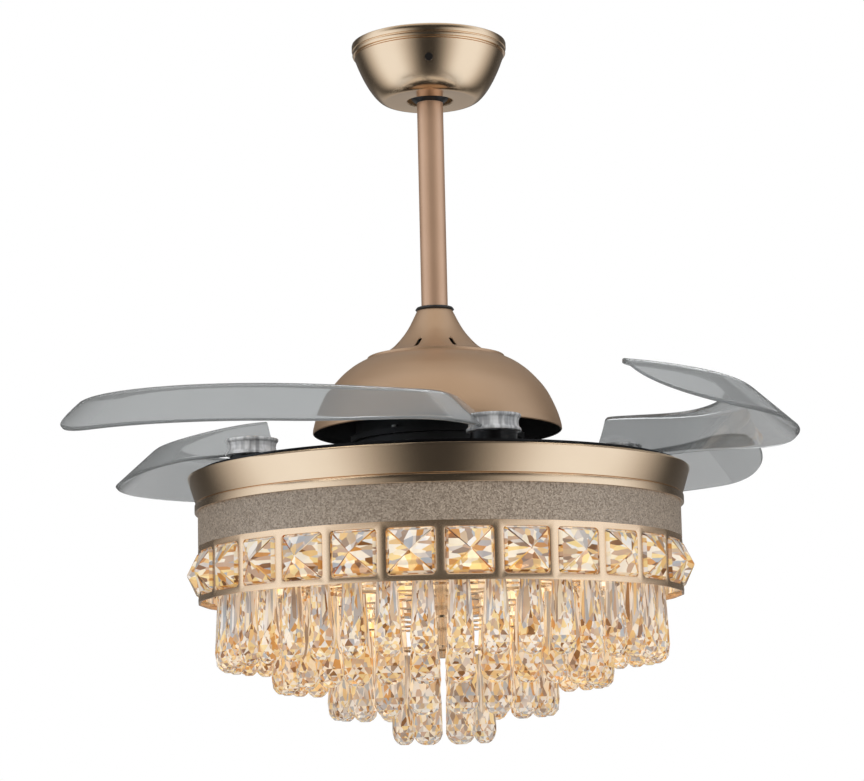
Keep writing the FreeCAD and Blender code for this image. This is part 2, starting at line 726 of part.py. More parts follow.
blade_room = blade_rise_linear + blade_rise_square + blade_root_crease + blade_full_width
sheet = Part.makeLoft([blade_section(share) for share in section_turn_shares], True, False)
prism = moved(blade_plan().extrude(vec(0, 0, 2 * blade_room)), 0, 0, -blade_room)
sheet = sheet.common(prism)
barrel_clear = barrel_radius + barrel_room
sheet = sheet.cut(cylinder(barrel_clear, ring_z - overrun, barrel_top - barrel_flange, pivot_ring_radius))
waist = (barrel_top + barrel_bottom) / 2
barrel = turned([(pin_bore, barrel_bottom), (barrel_radius, barrel_bottom),
                 (barrel_radius, barrel_bottom + barrel_flange), (barrel_waist_radius, waist),
                 (barrel_radius, barrel_top - barrel_flange), (barrel_radius, barrel_top),
                 (pin_bore, barrel_top)])
barrel = moved(barrel, pivot_ring_radius, 0, 0)
pin_room = pivot_head_radius + barrel_room
sheet = sheet.cut(cylinder(pin_room, barrel_top, ring_z + 2 * blade_room, pivot_ring_radius))
blade_bore = cylinder(pin_bore, barrel_bottom - overrun, barrel_top + overrun, pivot_ring_radius)
blade = sheet.fuse(barrel).cut(blade_bore)
blade = turn(blade, blade_open_angle, vec(pivot_ring_radius, 0, 0))
for number, angle in enumerate(pivot_angles, 1):
    save("blade_%d" % number, turn(blade, angle))

# Drum: a pan with a deep rim, the flared gold band and the glitter band round it
pan_inner = pan_radius - wall
pan = turned([(shaft_radius, pan_top), (pan_radius, pan_top), (pan_radius, frame_top), (pan_inner, frame_top),
              (pan_inner, pan_bottom), (shaft_radius, pan_bottom)])
save("lamp_pan", pan)
band_lip_foot = ring_z - band_lip
band_foot_radius = band_top_radius - band_flare
band_step_radius = band_foot_radius + band_step_out
step_inner = band_step_radius - wall
band_inner = band_top_radius - wall
gold_band = turned([(band_top_radius, ring_z), (band_top_radius, band_lip_foot),
                    (band_foot_radius, band_foot), (band_step_radius, band_foot - band_step_slope),
                    (band_step_radius, band_step),
                    (pan_radius, band_step), (pan_radius, band_step + wall), (step_inner, band_step + wall),
                    (step_inner, band_foot), (band_foot_radius - wall, band_foot + wall),
                    (band_inner, band_lip_foot), (band_inner, ring_z)])
save("gold_band", gold_band)
save("glitter_band", tube(pan_radius + glitter_thickness, pan_radius, frame_top, band_step))

# Crystal frame: two rails, the upper one with a flange under the pan's rim, and bars with cut corners
frame_inner = frame_radius - frame_wall
flange_inner = frame_radius - frame_flange_width
window_low = frame_foot + rail_height
window_high = frame_top - rail_height
top_rail = turned([(flange_inner, frame_top), (frame_radius, frame_top), (frame_radius, window_high),
                   (frame_inner, window_high), (frame_inner, frame_top - wall),
                   (flange_inner, frame_top - wall)])
save("frame_top_rail", top_rail)
save("frame_bottom_rail", tube(frame_radius, frame_inner, frame_foot, window_low))
window_width = 2 * math.pi * frame_radius / window_count - mullion_width
window = block(2 * overrun, window_width, window_low, window_high, frame_radius)
window = window.makeChamfer(window_corner, edges_along(window, outwards))
window_turn = 180.0 / window_count - 90.0
bars = tube(frame_radius, frame_inner, window_low, window_high).cut(around(window, window_count, window_turn))
save("frame_bars", bars.Solids)

# Square crystals: a back plate behind the window and a pyramid that stands out of it
square_half = window_width / 2 + square_overlap
square_front = math.sqrt(frame_inner ** 2 - square_half ** 2)
square_mid = (window_low + window_high) / 2


def clipped_square(x, half_width, half_height):
    cut = square_corner_share * (half_width + half_height)
    inner_width = half_width - cut
    inner_height = half_height - cut
    corners = [(half_width, -inner_height), (half_width, inner_height),
               (inner_width, half_height), (-inner_width, half_height),
               (-half_width, inner_height), (-half_width, -inner_height),
               (-inner_width, -half_height), (inner_width, -half_height)]
    return [vec(x, y, square_mid + z) for y, z in corners]


half_height = (window_high - window_low) / 2
front_width = window_width / 2 - square_gap
front_height = half_height - square_gap
table = front_height * square_table_share
back_height = half_height + square_overlap
square = faceted([clipped_square(square_front - square_back, square_half, back_height),
                  clipped_square(square_front, square_half, back_height),
                  clipped_square(square_front, front_width, front_height),
                  clipped_square(frame_radius + square_proud, table, table)])
save("square_crystals", around(square, window_count, window_turn))

# Lamp board under the pan, its lamps and the driver
board_bottom = pan_bottom - board_sheet
board_outer_radius = pan_radius - board_inset
save("lamp_board", tube(board_outer_radius, board_inner_radius, board_bottom, pan_bottom))
lamps = []
for count, radius in zip(lamp_counts, (board_outer_radius - lamp_room, board_inner_radius + lamp_inner_room)):
    lamps += around(block(lamp_size, lamp_size, board_bottom - lamp_height, board_bottom, radius), count)
save("lamps", lamps)
driver_low = pan_bottom - driver_height
save("lamp_driver", block(driver_length, driver_width, driver_low, pan_bottom, 0, driver_offset))

# Hanging crystals: a post below the shaft, and on it a spoked ring for every tier
post_radius = shaft_bore_radius
post_low = frame_foot - max(tier_depths) + drop_length + hook_length - post_collar_height
save("tier_post", cylinder(post_radius, post_low, shaft_bottom + post_in_shaft))


def drop_ring(level_share, girth_share):
    points = []
    for i in range(drop_sides):
        a = 2 * math.pi * (i + 0.5) / drop_sides
        depth = drop_depth / 2 * girth_share * math.cos(a)
        width = drop_width / 2 * girth_share * math.sin(a)
        points.append(vec(depth, width, drop_length * level_share))
    return points


drop = faceted([drop_ring(level, girth) for level, girth in zip(drop_height_shares, drop_girth_shares)])
hooks = []
tier_radii = [pan_radius * share for share in tier_radius_shares]
for number, (radius, depth, count) in enumerate(zip(tier_radii, tier_depths, tier_counts), 1):
    drop_low = frame_foot - depth
    drop_top = drop_low + drop_length
    ring_low = drop_top + hook_length
    ring_high = ring_low + tier_ring_sheet
    inside = radius - tier_ring_width / 2
    tier = tube(radius + tier_ring_width / 2, inside, ring_low, ring_high)
    tier = tier.fuse(tube(post_collar_radius, post_radius, ring_high - post_collar_height, ring_high))
    spoke_length = inside - (post_collar_radius + post_radius) / 2
    spoke = block(spoke_length, tier_ring_width, ring_low, ring_high, inside - spoke_length / 2)
    tier = tier.fuse(around(spoke, spoke_count, 180.0 / spoke_count))
    save("tier_ring_%d" % number, tier.removeSplitter())
    first = -90.0 + 180.0 / count
    save("drops_tier_%d" % number, around(moved(drop, radius, 0, drop_low), count, first))
    hooks += around(block(hook_side, hook_side, drop_top, ring_low, radius), count, first)
save("drop_hooks", hooks)
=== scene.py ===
import random
from math import cos, dist, exp, pi, radians, sin, sqrt, tan

import bmesh
import bpy
from mathutils import Matrix, Vector


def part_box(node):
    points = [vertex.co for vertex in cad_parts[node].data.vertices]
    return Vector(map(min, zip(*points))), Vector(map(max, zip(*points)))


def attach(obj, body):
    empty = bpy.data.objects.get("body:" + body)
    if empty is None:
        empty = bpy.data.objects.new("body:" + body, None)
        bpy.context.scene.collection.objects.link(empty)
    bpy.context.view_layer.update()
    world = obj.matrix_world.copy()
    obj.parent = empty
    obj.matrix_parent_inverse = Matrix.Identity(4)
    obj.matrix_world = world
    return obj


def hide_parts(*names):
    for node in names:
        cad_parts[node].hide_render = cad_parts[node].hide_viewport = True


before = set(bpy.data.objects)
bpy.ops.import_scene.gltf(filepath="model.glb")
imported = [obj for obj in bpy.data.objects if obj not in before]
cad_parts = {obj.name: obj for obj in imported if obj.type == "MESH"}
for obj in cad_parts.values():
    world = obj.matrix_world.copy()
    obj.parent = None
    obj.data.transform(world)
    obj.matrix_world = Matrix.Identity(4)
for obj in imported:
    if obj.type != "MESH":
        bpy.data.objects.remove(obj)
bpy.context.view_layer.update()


# Ceiling bracket: a strap with two slotted holes, pressed from zinc-plated sheet with the two
# legs that hold the ball's seat. It is screwed to the outlet box before anything else, and its
# plating is bright with a fine mottle.
def feed(tree, node, inputs):
    """Sets a node's sockets to plain values or links them to other nodes' outputs."""
    for label, value in inputs.items():
        if isinstance(value, bpy.types.NodeSocket):
            tree.links.new(value, node.inputs[label])
        else:
            node.inputs[label].default_value = value


def add_node(tree, kind, inputs):
    """Adds a shader node and gives back its outputs."""
    node = tree.nodes.new("ShaderNode" + kind)
    feed(tree, node, inputs)
    return node.outputs


def worked_out(tree, operation, *values):
    """The outcome of a sum on plain values or other nodes' outputs."""
    node = tree.nodes.new("ShaderNodeMath")
    node.operation = operation
    feed(tree, node, dict(enumerate(values)))
    return node.outputs["Value"]


def mixed(tree, share, first, second, data_type="RGBA"):
    """The first value where the share is 0, the second where it is 1."""
    node = tree.nodes.new("ShaderNodeMix")
    node.data_type = data_type
    feed(tree, node, {"Factor": share, "A": first, "B": second})
    return node.outputs["Result"]


def shader_group(name, inputs, outputs):
    """An empty node group with its named sockets."""
    group = bpy.data.node_groups.new(name, "ShaderNodeTree")
    for label, value in inputs.items():
        kind = "Color" if isinstance(value, tuple) else "Float"
        socket = group.interface.new_socket(label, in_out="INPUT", socket_type="NodeSocket" + kind)
        socket.default_value = value
    for label, kind in outputs.items():
        group.interface.new_socket(label, in_out="OUTPUT", socket_type="NodeSocket" + kind)
    given = group.nodes.new("NodeGroupInput").outputs
    return group, given, group.nodes.new("NodeGroupOutput")


surface_outputs = {"Color": "Color", "Roughness": "Float", "Normal": "Vector"}


def plating_group():
    """Plated or painted surface: slow mottling between two tones, and a fine grain."""
    group, given, result = shader_group("Plated surface",
        {"Tone": (1, 1, 1, 1), "Worn Tone": (1, 1, 1, 1), "Grain Size": 0.001,
        "Grain Stretch": 1.0, "Smooth": 0.2, "Rough": 0.4, "Grain Height": 0.1}, surface_outputs)
    place = add_node(group, "TexCoord", {})["Object"]
    mottle = add_node(group, "TexNoise", {"Vector": place, "Scale": 22.0, "Detail": 4.0})
    tone = mixed(group, mottle["Fac"], given["Tone"], given["Worn Tone"])
    stretch = add_node(group, "CombineXYZ", {"X": 1.0, "Y": 1.0, "Z": given["Grain Stretch"]})
    spread = group.nodes.new("ShaderNodeVectorMath")
    spread.operation = "MULTIPLY"
    feed(group, spread, {0: place, 1: stretch["Vector"]})
    fineness = worked_out(group, "DIVIDE", 1.0, given["Grain Size"])
    grain = add_node(group, "TexNoise", {"Vector": spread.outputs["Vector"], "Scale": fineness,
        "Detail": 3.0})
    rough = mixed(group, grain["Fac"], given["Smooth"], given["Rough"], "FLOAT")
    bump = add_node(group, "Bump", {"Height": grain["Fac"], "Strength": given["Grain Height"],
        "Distance": 0.0002})
    feed(group, result, {"Color": tone, "Roughness": rough, "Normal": bump["Normal"]})
    return group


def new_material(name, shader_values):
    """A new material, its tree and its shader, whose sockets take the plain values."""
    material = bpy.data.materials.new(name)
    material.use_nodes = True
    shader = material.node_tree.nodes["Principled BSDF"]
    feed(material.node_tree, shader, shader_values)
    return material, material.node_tree, shader


def surfaced(name, group, group_values, shader_values, feeds):
    """A material whose shader sockets are fed by the named outputs of a group."""
    material, tree, shader = new_material(name, shader_values)
    surface = tree.nodes.new("ShaderNodeGroup")
    surface.node_tree = group
    feed(tree, surface, group_values)
    feed(tree, shader, {socket: surface.outputs[output] for socket, output in feeds.items()})
    return material


plated_surface = plating_group()
surface_feeds = {"Base Color": "Color", "Roughness": "Roughness", "Normal": "Normal"}


def plated(name, tone, worn, smooth, rough, metallic=0.0, grain_size=0.002, stretch=1.0,
        height=0.1):
    """A finished surface of metal, paint or moulded plastic."""
    return surfaced(name, plated_surface,
        {"Tone": (*tone, 1), "Worn Tone": (*worn, 1), "Grain Size": grain_size,
        "Grain Stretch": stretch, "Smooth": smooth, "Rough": rough, "Grain Height": height},
        {"Metallic": metallic}, surface_feeds)


def smoothed(mesh, corner_angle):
    """Shades a mesh smooth but for its real corners."""
    mesh.shade_smooth()
    mesh.set_sharp_from_angle(angle=radians(corner_angle))


def dress(material, *names):
    """Gives CAD nodes their finish."""
    for name in names:
        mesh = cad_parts[name].data
        mesh.materials.clear()
        mesh.materials.append(material)
        smoothed(mesh, 32)


zinc = plated("Zinc plating", (0.62, 0.62, 0.58), (0.42, 0.42, 0.41),
    metallic=1.0, smooth=0.24, rough=0.42, grain_size=0.003)
dress(zinc, "ceiling_bracket")


# Radio receiver: a small box moulded in white plastic with a slight grain. It lies in the
# bracket under the strap.
white_case = plated("White moulded case", (0.82, 0.82, 0.8), (0.7, 0.7, 0.68),
    smooth=0.42, rough=0.6, grain_size=0.0012)
dress(white_case, "receiver")


# Canopy: spun from steel sheet with a stepped lip, satin ground and plated champagne gold. It
# slides up the rod to hide the bracket, and two black screws through its wall hold it to the ears.
def champagne_finish(name, tone, worn, smooth, rough, brushed, metallic=1.0):
    """Champagne plating over fine turning marks, so it gleams across the turning."""
    material = plated(name, tone, worn, smooth, rough, metallic,
        grain_size=0.0016, stretch=6.0, height=0.04)
    tree = material.node_tree
    lay = tree.nodes.new("ShaderNodeTangent")
    lay.direction_type = "RADIAL"
    lay.axis = "Z"
    feed(tree, tree.nodes["Principled BSDF"],
        {"Anisotropic": brushed, "Tangent": lay.outputs["Tangent"]})
    return material


def placed(name, data):
    """A new object in the scene."""
    piece = bpy.data.objects.new(name, data)
    bpy.context.scene.collection.objects.link(piece)
    return piece


def made(name, points, faces, material, corner_angle=30):
    """A smooth piece from its points and faces, outsides turned out."""
    mesh = bpy.data.meshes.new(name)
    mesh.from_pydata(points, [], faces)
    form = bmesh.new()
    form.from_mesh(mesh)
    bmesh.ops.remove_doubles(form, verts=form.verts, dist=1e-7)
    bmesh.ops.recalc_face_normals(form, faces=form.faces)
    form.to_mesh(mesh)
    form.free()
    mesh.materials.append(material)
    smoothed(mesh, corner_angle)
    return placed(name, mesh)


def round_axis(radius, angle, height):
    """The point at this radius, angle and height round the fan's axis."""
    return radius * cos(angle), radius * sin(angle), height


def ring_mesh(outline, segments):
    """Points and faces of a closed outline of (radius, height) turned once round the axis."""
    count = len(outline)
    points = []
    faces = []
    for step in range(segments):
        angle = 2 * pi * step / segments
        points += [round_axis(radius, angle, height) for radius, height in outline]
        here = step * count
        there = (step + 1) % segments * count
        faces += [(here + i, there + i, there + (i + 1) % count, here + (i + 1) % count)
            for i in range(count)]
    return points, faces


def spun(name, outline, material, segments=192):
    return made(name, *ring_mesh(outline, segments), material)


def sheet_outline(line, thickness):
    """The closed outline of a sheet. The line is its outer side, from top to bottom."""
    inner = []
    for index in range(len(line)):
        before = Vector(line[max(index - 1, 0)])
        along = (Vector(line[min(index + 1, len(line) - 1)]) - before).normalized()
        inner.append((line[index][0] + along.y * thickness, line[index][1] - along.x * thickness))
    return line + inner[::-1]


champagne = champagne_finish("Champagne plating", (0.82, 0.61, 0.41), (0.76, 0.55, 0.36),
    smooth=0.15, rough=0.22, brushed=0.5)
sheet_metal = 0.0012
canopy_rim = 0.079
canopy_floor = 0.0456
canopy_hole = 0.023
canopy_depth = 0.06
bowl_rim = canopy_rim - 0.0022
bowl_top = 0.012
bowl_steps = 36
lip_end = 0.015  # the bowl's line shows below this depth
lip_steps = ((0.0012, 0.0), (0.0003, 0.0005), (0.0, 0.0014), (0.0, 0.0062), (0.0003, 0.007),
    (0.0012, 0.0075), (0.0013, 0.0081), (0.0007, 0.0088), (0.0006, 0.011), (0.001, 0.0118),
    (0.0036, 0.0121), (0.0038, 0.0131), (0.0034, 0.0137), (0.0028, 0.0144))
lip_line = [(canopy_rim - inward, -down) for inward, down in lip_steps]
bowl_line = []
for step in range(bowl_steps + 1):
    lean = pi / 2 * (1 - step / bowl_steps)
    bulge = 0.5 * (sin(lean) + 1 - cos(lean))
    bowl_line.append((canopy_floor + (bowl_rim - canopy_floor) * bulge,
        -canopy_depth + (canopy_depth - bowl_top) * (1 - cos(lean))))
bowl_line = [spot for spot in bowl_line if spot[1] < -lip_end]
floor_line = [(canopy_floor - 0.0015, 0.0001 - canopy_depth), (canopy_hole + 0.001, -canopy_depth),
    (canopy_hole, 0.0008 - canopy_depth)]
canopy = spun("spun_canopy", sheet_outline(lip_line + bowl_line + floor_line, sheet_metal),
    champagne)
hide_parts("canopy")
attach(canopy, "ceiling_mount")
dress(plated("Blackened screws", (0.02, 0.019, 0.018), (0.035, 0.03, 0.027),
    metallic=0.6, smooth=0.25, rough=0.4, grain_size=0.001), "canopy_screws")


# Hanger ball and the collar on the neck: moulded in black nylon, the ball polished by its seat.
# A zinc-plated pin through ball and rod carries everything below.
dress(plated("Black moulding", (0.012, 0.012, 0.012), (0.02, 0.019, 0.018),
    smooth=0.22, rough=0.4, grain_size=0.001), "hanger_ball", "neck_collar")
dress(zinc, "hanger_pin")


# Downrod: drawn steel tube in copper-rose plating, with faint streaks along its length. It hangs
# from the ball, and the yoke is bolted to its foot.
dress(plated("Copper rose plating", (0.66, 0.42, 0.275), (0.58, 0.36, 0.23), metallic=0.5,
    smooth=0.32, rough=0.42, grain_size=0.0012, stretch=0.06, height=0.06), "downrod")


# Neck cap: pressed into a flared cone, satin plated in a tan gold that is duller than the canopy's.
# A ring of slots in its foot lets the motor breathe, and it stands on the dome's flat top.
def flowing(points, steps=6):
    """A smooth run through the given points."""
    spots = [Vector(point) for point in points]
    spots = [spots[0] * 2 - spots[1]] + spots + [spots[-1] * 2 - spots[-2]]
    run = []
    for a, b, c, d in zip(spots, spots[1:], spots[2:], spots[3:]):
        for step in range(steps):
            t = step / steps
            run.append(tuple(0.5 * (2 * b + (c - a) * t + (2 * a - 5 * b + 4 * c - d) * t ** 2
                + (3 * b - a - 3 * c + d) * t ** 3)))
    return run + [tuple(spots[-2])]


def wall(low, high, count):
    """Faces between two closed rings of points, numbered from `low` and from `high`."""
    return [(low + i, low + (i + 1) % count, high + (i + 1) % count, high + i)
        for i in range(count)]


def settled(piece):
    """Works out a piece's modifiers once and keeps the result as its mesh."""
    worked = piece.evaluated_get(bpy.context.evaluated_depsgraph_get())
    mesh = bpy.data.meshes.new_from_object(worked)
    piece.modifiers.clear()
    piece.data = mesh


def cut_or_joined(piece, operation, *others, corner_angle=30):
    """Cuts the others out of a piece, or joins them to it, and clears them away."""
    for other in others:
        step = piece.modifiers.new("combine", "BOOLEAN")
        step.operation = operation
        step.object = other
        step.material_mode = "TRANSFER"
    settled(piece)
    for other in others:
        bpy.data.objects.remove(other)
    smoothed(piece.data, corner_angle)


dome_plating = champagne_finish("Tan gold plating", (0.545, 0.36, 0.225), (0.49, 0.315, 0.19),
    smooth=0.33, rough=0.42, brushed=0.3, metallic=0.6)
neck_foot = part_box("neck_cap")[0].z
neck_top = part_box("neck_cap")[1].z
neck_radius = 0.018
neck_flare = 0.051
foot_wall = 0.0025
cone_fall = neck_top - neck_foot - foot_wall
cone_shares = ((0, 0), (0.16, 0.34), (0.3, 0.56), (0.5, 0.79), (0.72, 0.93), (1, 1))
cap_line = flowing([(neck_radius + neck_flare * out, neck_top - cone_fall * down)
    for out, down in cone_shares])
cap_line += [(neck_radius + neck_flare, neck_foot)]
neck_cap = spun("flared_neck_cap", sheet_outline(cap_line, sheet_metal), dome_plating)
slot_count = 8
first_slot = -67.5
slot_place = 0.045
slot_half_length = 0.0054
slot_half_width = 0.0021
slot_sides = 24
slot_rim = []
for step in range(slot_sides):
    angle = 2 * pi * step / slot_sides
    reach = slot_half_length if cos(angle) > 0 else -slot_half_length
    slot_rim.append((slot_place + reach + slot_half_width * cos(angle),
        slot_half_width * sin(angle)))
punch_faces = wall(0, slot_sides, slot_sides)
punch_faces += [tuple(range(slot_sides)), tuple(range(slot_sides, 2 * slot_sides))]
slots = []
for number in range(slot_count):
    facing = Matrix.Rotation(radians(first_slot + 360 / slot_count * number), 4, "Z")
    points = [facing @ Vector((x, y, z))
        for z in (neck_foot - 0.005, neck_top) for x, y in slot_rim]
    slots.append(made("slot_punch_%d" % number, points, punch_faces, dome_plating))
cut_or_joined(neck_cap, "DIFFERENCE", *slots)
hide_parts("neck_cap")
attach(neck_cap, "fixture")


# Dome: pressed from steel sheet with a round shoulder and a rolled hem, in the neck cap's finish.
# It is screwed down on the zinc-plated carrier disc and covers the motor; its inside is painted
# shade.
dome_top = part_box("dome_cover")[1].z
dome_hole = 0.048
dome_shoulder = 0.07
dome_flare = 0.0549
dome_hem = 0.0012
dome_fall = dome_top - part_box("dome_cover")[0].z - dome_hem
dome_shares = ((0, 0), (0.14, 0.05), (0.3, 0.125), (0.5, 0.255), (0.74, 0.475), (0.91, 0.74),
    (0.985, 0.92), (1, 1))
dome_line = flowing([(dome_shoulder + dome_flare * out, dome_top - dome_fall * down)
    for out, down in dome_shares])
rolled_hem = [(dome_shoulder + dome_flare - inward, dome_top - dome_fall - down)
    for inward, down in ((0.0002, 0.0005), (0.0009, 0.0011), (0.0019, dome_hem))]
dome = spun("pressed_dome", sheet_outline([(dome_hole, dome_top)] + dome_line + rolled_hem,
    sheet_metal), dome_plating)
# Near-black on the dome's inside faces: painted shade for the hollow under the dome.
dome_inside_painted_shade = plated("Dome inside painted shade", (0.016, 0.011, 0.007), (0.03, 0.02, 0.012),
    smooth=0.45, rough=0.6, grain_size=0.001)
dome.data.materials.append(dome_inside_painted_shade)
for face in dome.data.polygons:  # those that look inwards take the painted shade
    outward = face.center.copy()
    outward.z = 0.35 * outward.xy.length
    if face.normal.dot(outward) < 0:
        face.material_index = 1
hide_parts("dome_cover")
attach(dome, "fixture")
dress(zinc, "dome_carrier")


# Yoke, turning plate and gear tray: pressed and turned steel in gloss black enamel. The plate
# turns with the motor and carries a boss for each blade. Zinc plates the yoke's bolt and screws.
black_enamel = plated("Black enamel", (0.004, 0.004, 0.0045), (0.008, 0.007, 0.007),
    smooth=0.14, rough=0.24, grain_size=0.004)
enamel_shader = black_enamel.node_tree.nodes["Principled BSDF"]
enamel_shader.inputs["Specular IOR Level"].default_value = 0.22
dress(black_enamel, "yoke", "blade_plate", "gear_tray")
dress(zinc, "yoke_bolt", "yoke_screws")


# Motor: two die-cast shells, painted black, round magnets and a wound stator, on two ball
# bearings. It turns on the hollow shaft, which hangs in the yoke and ends in a nut.
dress(plated("Painted motor casting", (0.012, 0.012, 0.012), (0.02, 0.019, 0.018),
    smooth=0.5, rough=0.7, grain_size=0.0015, height=0.3), "motor_upper_shell", "motor_lower_shell")
dress(plated("Ground bearing steel", (0.7, 0.7, 0.71), (0.6, 0.6, 0.62),
    metallic=1.0, smooth=0.1, rough=0.2), "lower_bearing", "upper_bearing")
dress(plated("Ferrite", (0.05, 0.05, 0.052), (0.03, 0.03, 0.031), smooth=0.5, rough=0.7),
    "magnet_ring")
dress(plated("Stator sheets", (0.3, 0.3, 0.31), (0.22, 0.22, 0.23), metallic=1.0,
    smooth=0.35, rough=0.5, grain_size=0.0005, stretch=8.0, height=0.4), "stator_core")
dress(plated("Copper winding", (0.62, 0.26, 0.09), (0.45, 0.17, 0.06), metallic=1.0,
    smooth=0.25, rough=0.4, grain_size=0.0008, stretch=3.0, height=0.5), "stator_coils")
dress(zinc, "hollow_shaft", "shaft_nut", "motor_screws")


# Gears under the plate: moulded in nylon, a pinion on each blade and the ring that turns them
# together. The ring runs in the tray.
dress(plated("Gear nylon", (0.78, 0.76, 0.69), (0.68, 0.66, 0.59),
    smooth=0.4, rough=0.55, grain_size=0.001),
    "sync_ring", "blade_gear_1", "blade_gear_2", "blade_gear_3", "blade_gear_4")


# Blades: each is one moulding of clear smoke-grey acrylic, polished. A sloping skirt and a nearly
# flat deck meet in a soft crease, the tip is round, and the root runs into a waisted hub that
# turns on its pin.
plate_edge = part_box("gold_band")[1].z
pivot_reach = 0.19
pivot_turns = [radians(-74 + 90 * number) for number in range(4)]
arc_centre = 0.028  # centre of the outer edge's arc, beyond the fan's axis, blade folded
arc_radius = 0.232
blade_sweep = radians(142)
blade_open = radians(54)
blade_sheet = 0.0026
rim_round = 0.0009
tip_width = 0.074
mid_width = 0.068
root_width = 0.058
root_span = 0.2  # share of the length over which the root's form fades away
skirt_slope = tan(radians(42.5))
deck_slope = tan(radians(2.5))
crease_place = 0.042  # how far in from the outer edge the crease lies
crease_root_shift = 0.011
crease_softness = 0.0045
edge_foot = 0.008  # height of the outer edge at the root, and how it climbs to the tip
edge_climb = 0.003
edge_upturn = 0.01
tip_turn = tip_width / 2 / (arc_radius - tip_width / 2)
straight_turn = blade_sweep - tip_turn
root_turn = radians(1)
root_corner = 0.012
corner_turn = radians(-1.1)
corner_reach = radians(5)
heel_inward = 0.024
heel_turn = radians(-5)
root_draw = 0.013  # how far the outer edge draws in at the root
root_draw_turn = radians(18)
root_draw_reach = radians(46)
tip_middle = 0.045  # how far in from the outer edge the tip ends
tip_end = radians(86)
edge_turn = blade_sweep - radians(28)  # where the outer edge starts its curve to the tip


def crease_inward(turned):
    along = max(turned / blade_sweep, 0)
    return crease_place + crease_root_shift * exp(-(along / root_span) ** 2)


def blade_width(turned):
    along = min(max(turned / straight_turn, 0), 1)
    return (mid_width + (tip_width - mid_width) * max(0, 2 * along - 1) ** 2
        - (mid_width - root_width) * exp(-(along / root_span) ** 2))


def blade_height(inward, turned):
    """Height of the blade's upper side, with the crease rounded off."""
    along = max(turned / blade_sweep, 0)
    edge = edge_foot + edge_climb * along + edge_upturn * along ** 2
    crease = crease_inward(turned)
    past = inward - crease
    if past < -crease_softness:
        return edge + inward * skirt_slope
    if past > crease_softness:
        return edge + crease * skirt_slope + past * deck_slope
    bend = (past + crease_softness) ** 2 / (4 * crease_softness)
    return edge + inward * skirt_slope + (deck_slope - skirt_slope) * bend


def blade_spot(inward, turned):
    radius = arc_radius - inward
    return Vector((radius * cos(turned) - arc_centre, -radius * sin(turned),
        plate_edge + blade_height(inward, turned)))


def edge_inward(turned):
    """How far the outer edge draws in: towards the hub at the root, and towards the tip."""
    root_part = min(max(1 - (turned - root_draw_turn) / root_draw_reach, 0), 1)
    tip_part = max(0, (turned - edge_turn) / (blade_sweep - edge_turn))
    return (root_draw * root_part ** 2 * (3 - 2 * root_part)
        + tip_middle * (1 - sqrt(max(0, 1 - tip_part ** 2))))


def spaced(start, end, steps):
    return [start + (end - start) * step / steps for step in range(steps + 1)]


def blade_columns(turned):
    """Places across the blade, close together over the crease. The root's inner corner is round."""
    corner_part = min(max(1 - (turned - corner_turn) / corner_reach, 0), 1)
    turned = max(turned, root_turn)
    crease = crease_inward(turned)
    width = blade_width(turned) - root_corner * (1 - sqrt(1 - corner_part ** 2))
    high = min(crease + crease_softness, width - 0.0006)
    low = min(crease - crease_softness, high - 0.004)
    skirt = spaced(edge_inward(turned), low, 10)
    return skirt[:-1] + spaced(low, high, 10) + spaced(high, width, 6)[1:]


def blade_rows():
    """Rows of places (inward, turned) along the blade, from the heel to the tip's end."""
    rows = []
    lean = (root_turn - heel_turn) / (root_width - heel_inward)
    for turned in spaced(heel_turn, straight_turn, 90):
        rows.append([(inward, max(turned, heel_turn + lean * (inward - heel_inward)))
            for inward in blade_columns(turned)])
    columns = [inward for inward, turned in rows[-1]]
    first, last = columns[0], columns[-1]
    for angle in spaced(0, tip_end, 20)[1:]:
        rise = sin(angle)
        turned = straight_turn + tip_turn * rise
        outer = edge_inward(turned)
        inner = tip_middle + (last - tip_middle) * sqrt(1 - rise ** 2)
        rows.append([(outer + (inner - outer) * (inward - first) / (last - first), turned)
            for inward in columns])
    return rows


def blade_mesh():
    """Points and faces of a folded blade: its upper and lower sides, joined round the rim."""
    rows = blade_rows()
    count = len(rows[0])
    nudge = 1e-4
    upper, lower = [], []
    for inward, turned in [place for row in rows for place in row]:
        spot = blade_spot(inward, turned)
        across = blade_spot(inward + nudge, turned) - blade_spot(inward - nudge, turned)
        along = blade_spot(inward, turned + nudge) - blade_spot(inward, turned - nudge)
        outward = across.cross(along).normalized()
        upper.append(spot)
        lower.append(spot - outward * blade_sheet)
    size = len(upper)
    faces = []
    for start in range(0, size - count, count):
        for a in range(start, start + count - 1):
            faces.append((a, a + 1, a + count + 1, a + count))
            faces.append((size + a, size + a + count, size + a + count + 1, size + a + 1))
    rim = list(range(count)) + list(range(2 * count - 1, size, count))
    rim += list(range(size - 2, size - count - 1, -1)) + list(range(size - 2 * count, 0, -count))
    for a, b in zip(rim, rim[1:] + rim[:1]):
        faces.append((a, size + a, size + b, b))
    return upper + lower, faces


def eased(outline, reach, steps=3):
    """A closed outline with every corner rounded off, starting at most `reach` before it."""
    result = []
    for index, point in enumerate(outline):
        corner = Vector(point)
        sides = [Vector(outline[index - 1]) - corner,
            Vector(outline[(index + 1) % len(outline)]) - corner]
        start, end = [corner + side.normalized() * min(reach, side.length * 0.45) for side in sides]
        for step in range(steps + 1):
            share = step / steps
            result.append(tuple(start * (1 - share) ** 2 + corner * 2 * share * (1 - share)
                + end * share ** 2))
    return result


def colour_ramp(tree, share, tones, interpolation="LINEAR"):
    """The tone at a share of the way along a row of tones, each given with its place."""
    node = tree.nodes.new("ShaderNodeValToRGB")
    feed(tree, node, {"Fac": share})
    ramp = node.color_ramp
    ramp.interpolation = interpolation
    while len(ramp.elements) < len(tones):
        ramp.elements.new(0.5)
    for element, (position, colour) in zip(ramp.elements, tones):
        element.position = position
        element.color = (*colour, 1)
    return node.outputs["Color"]


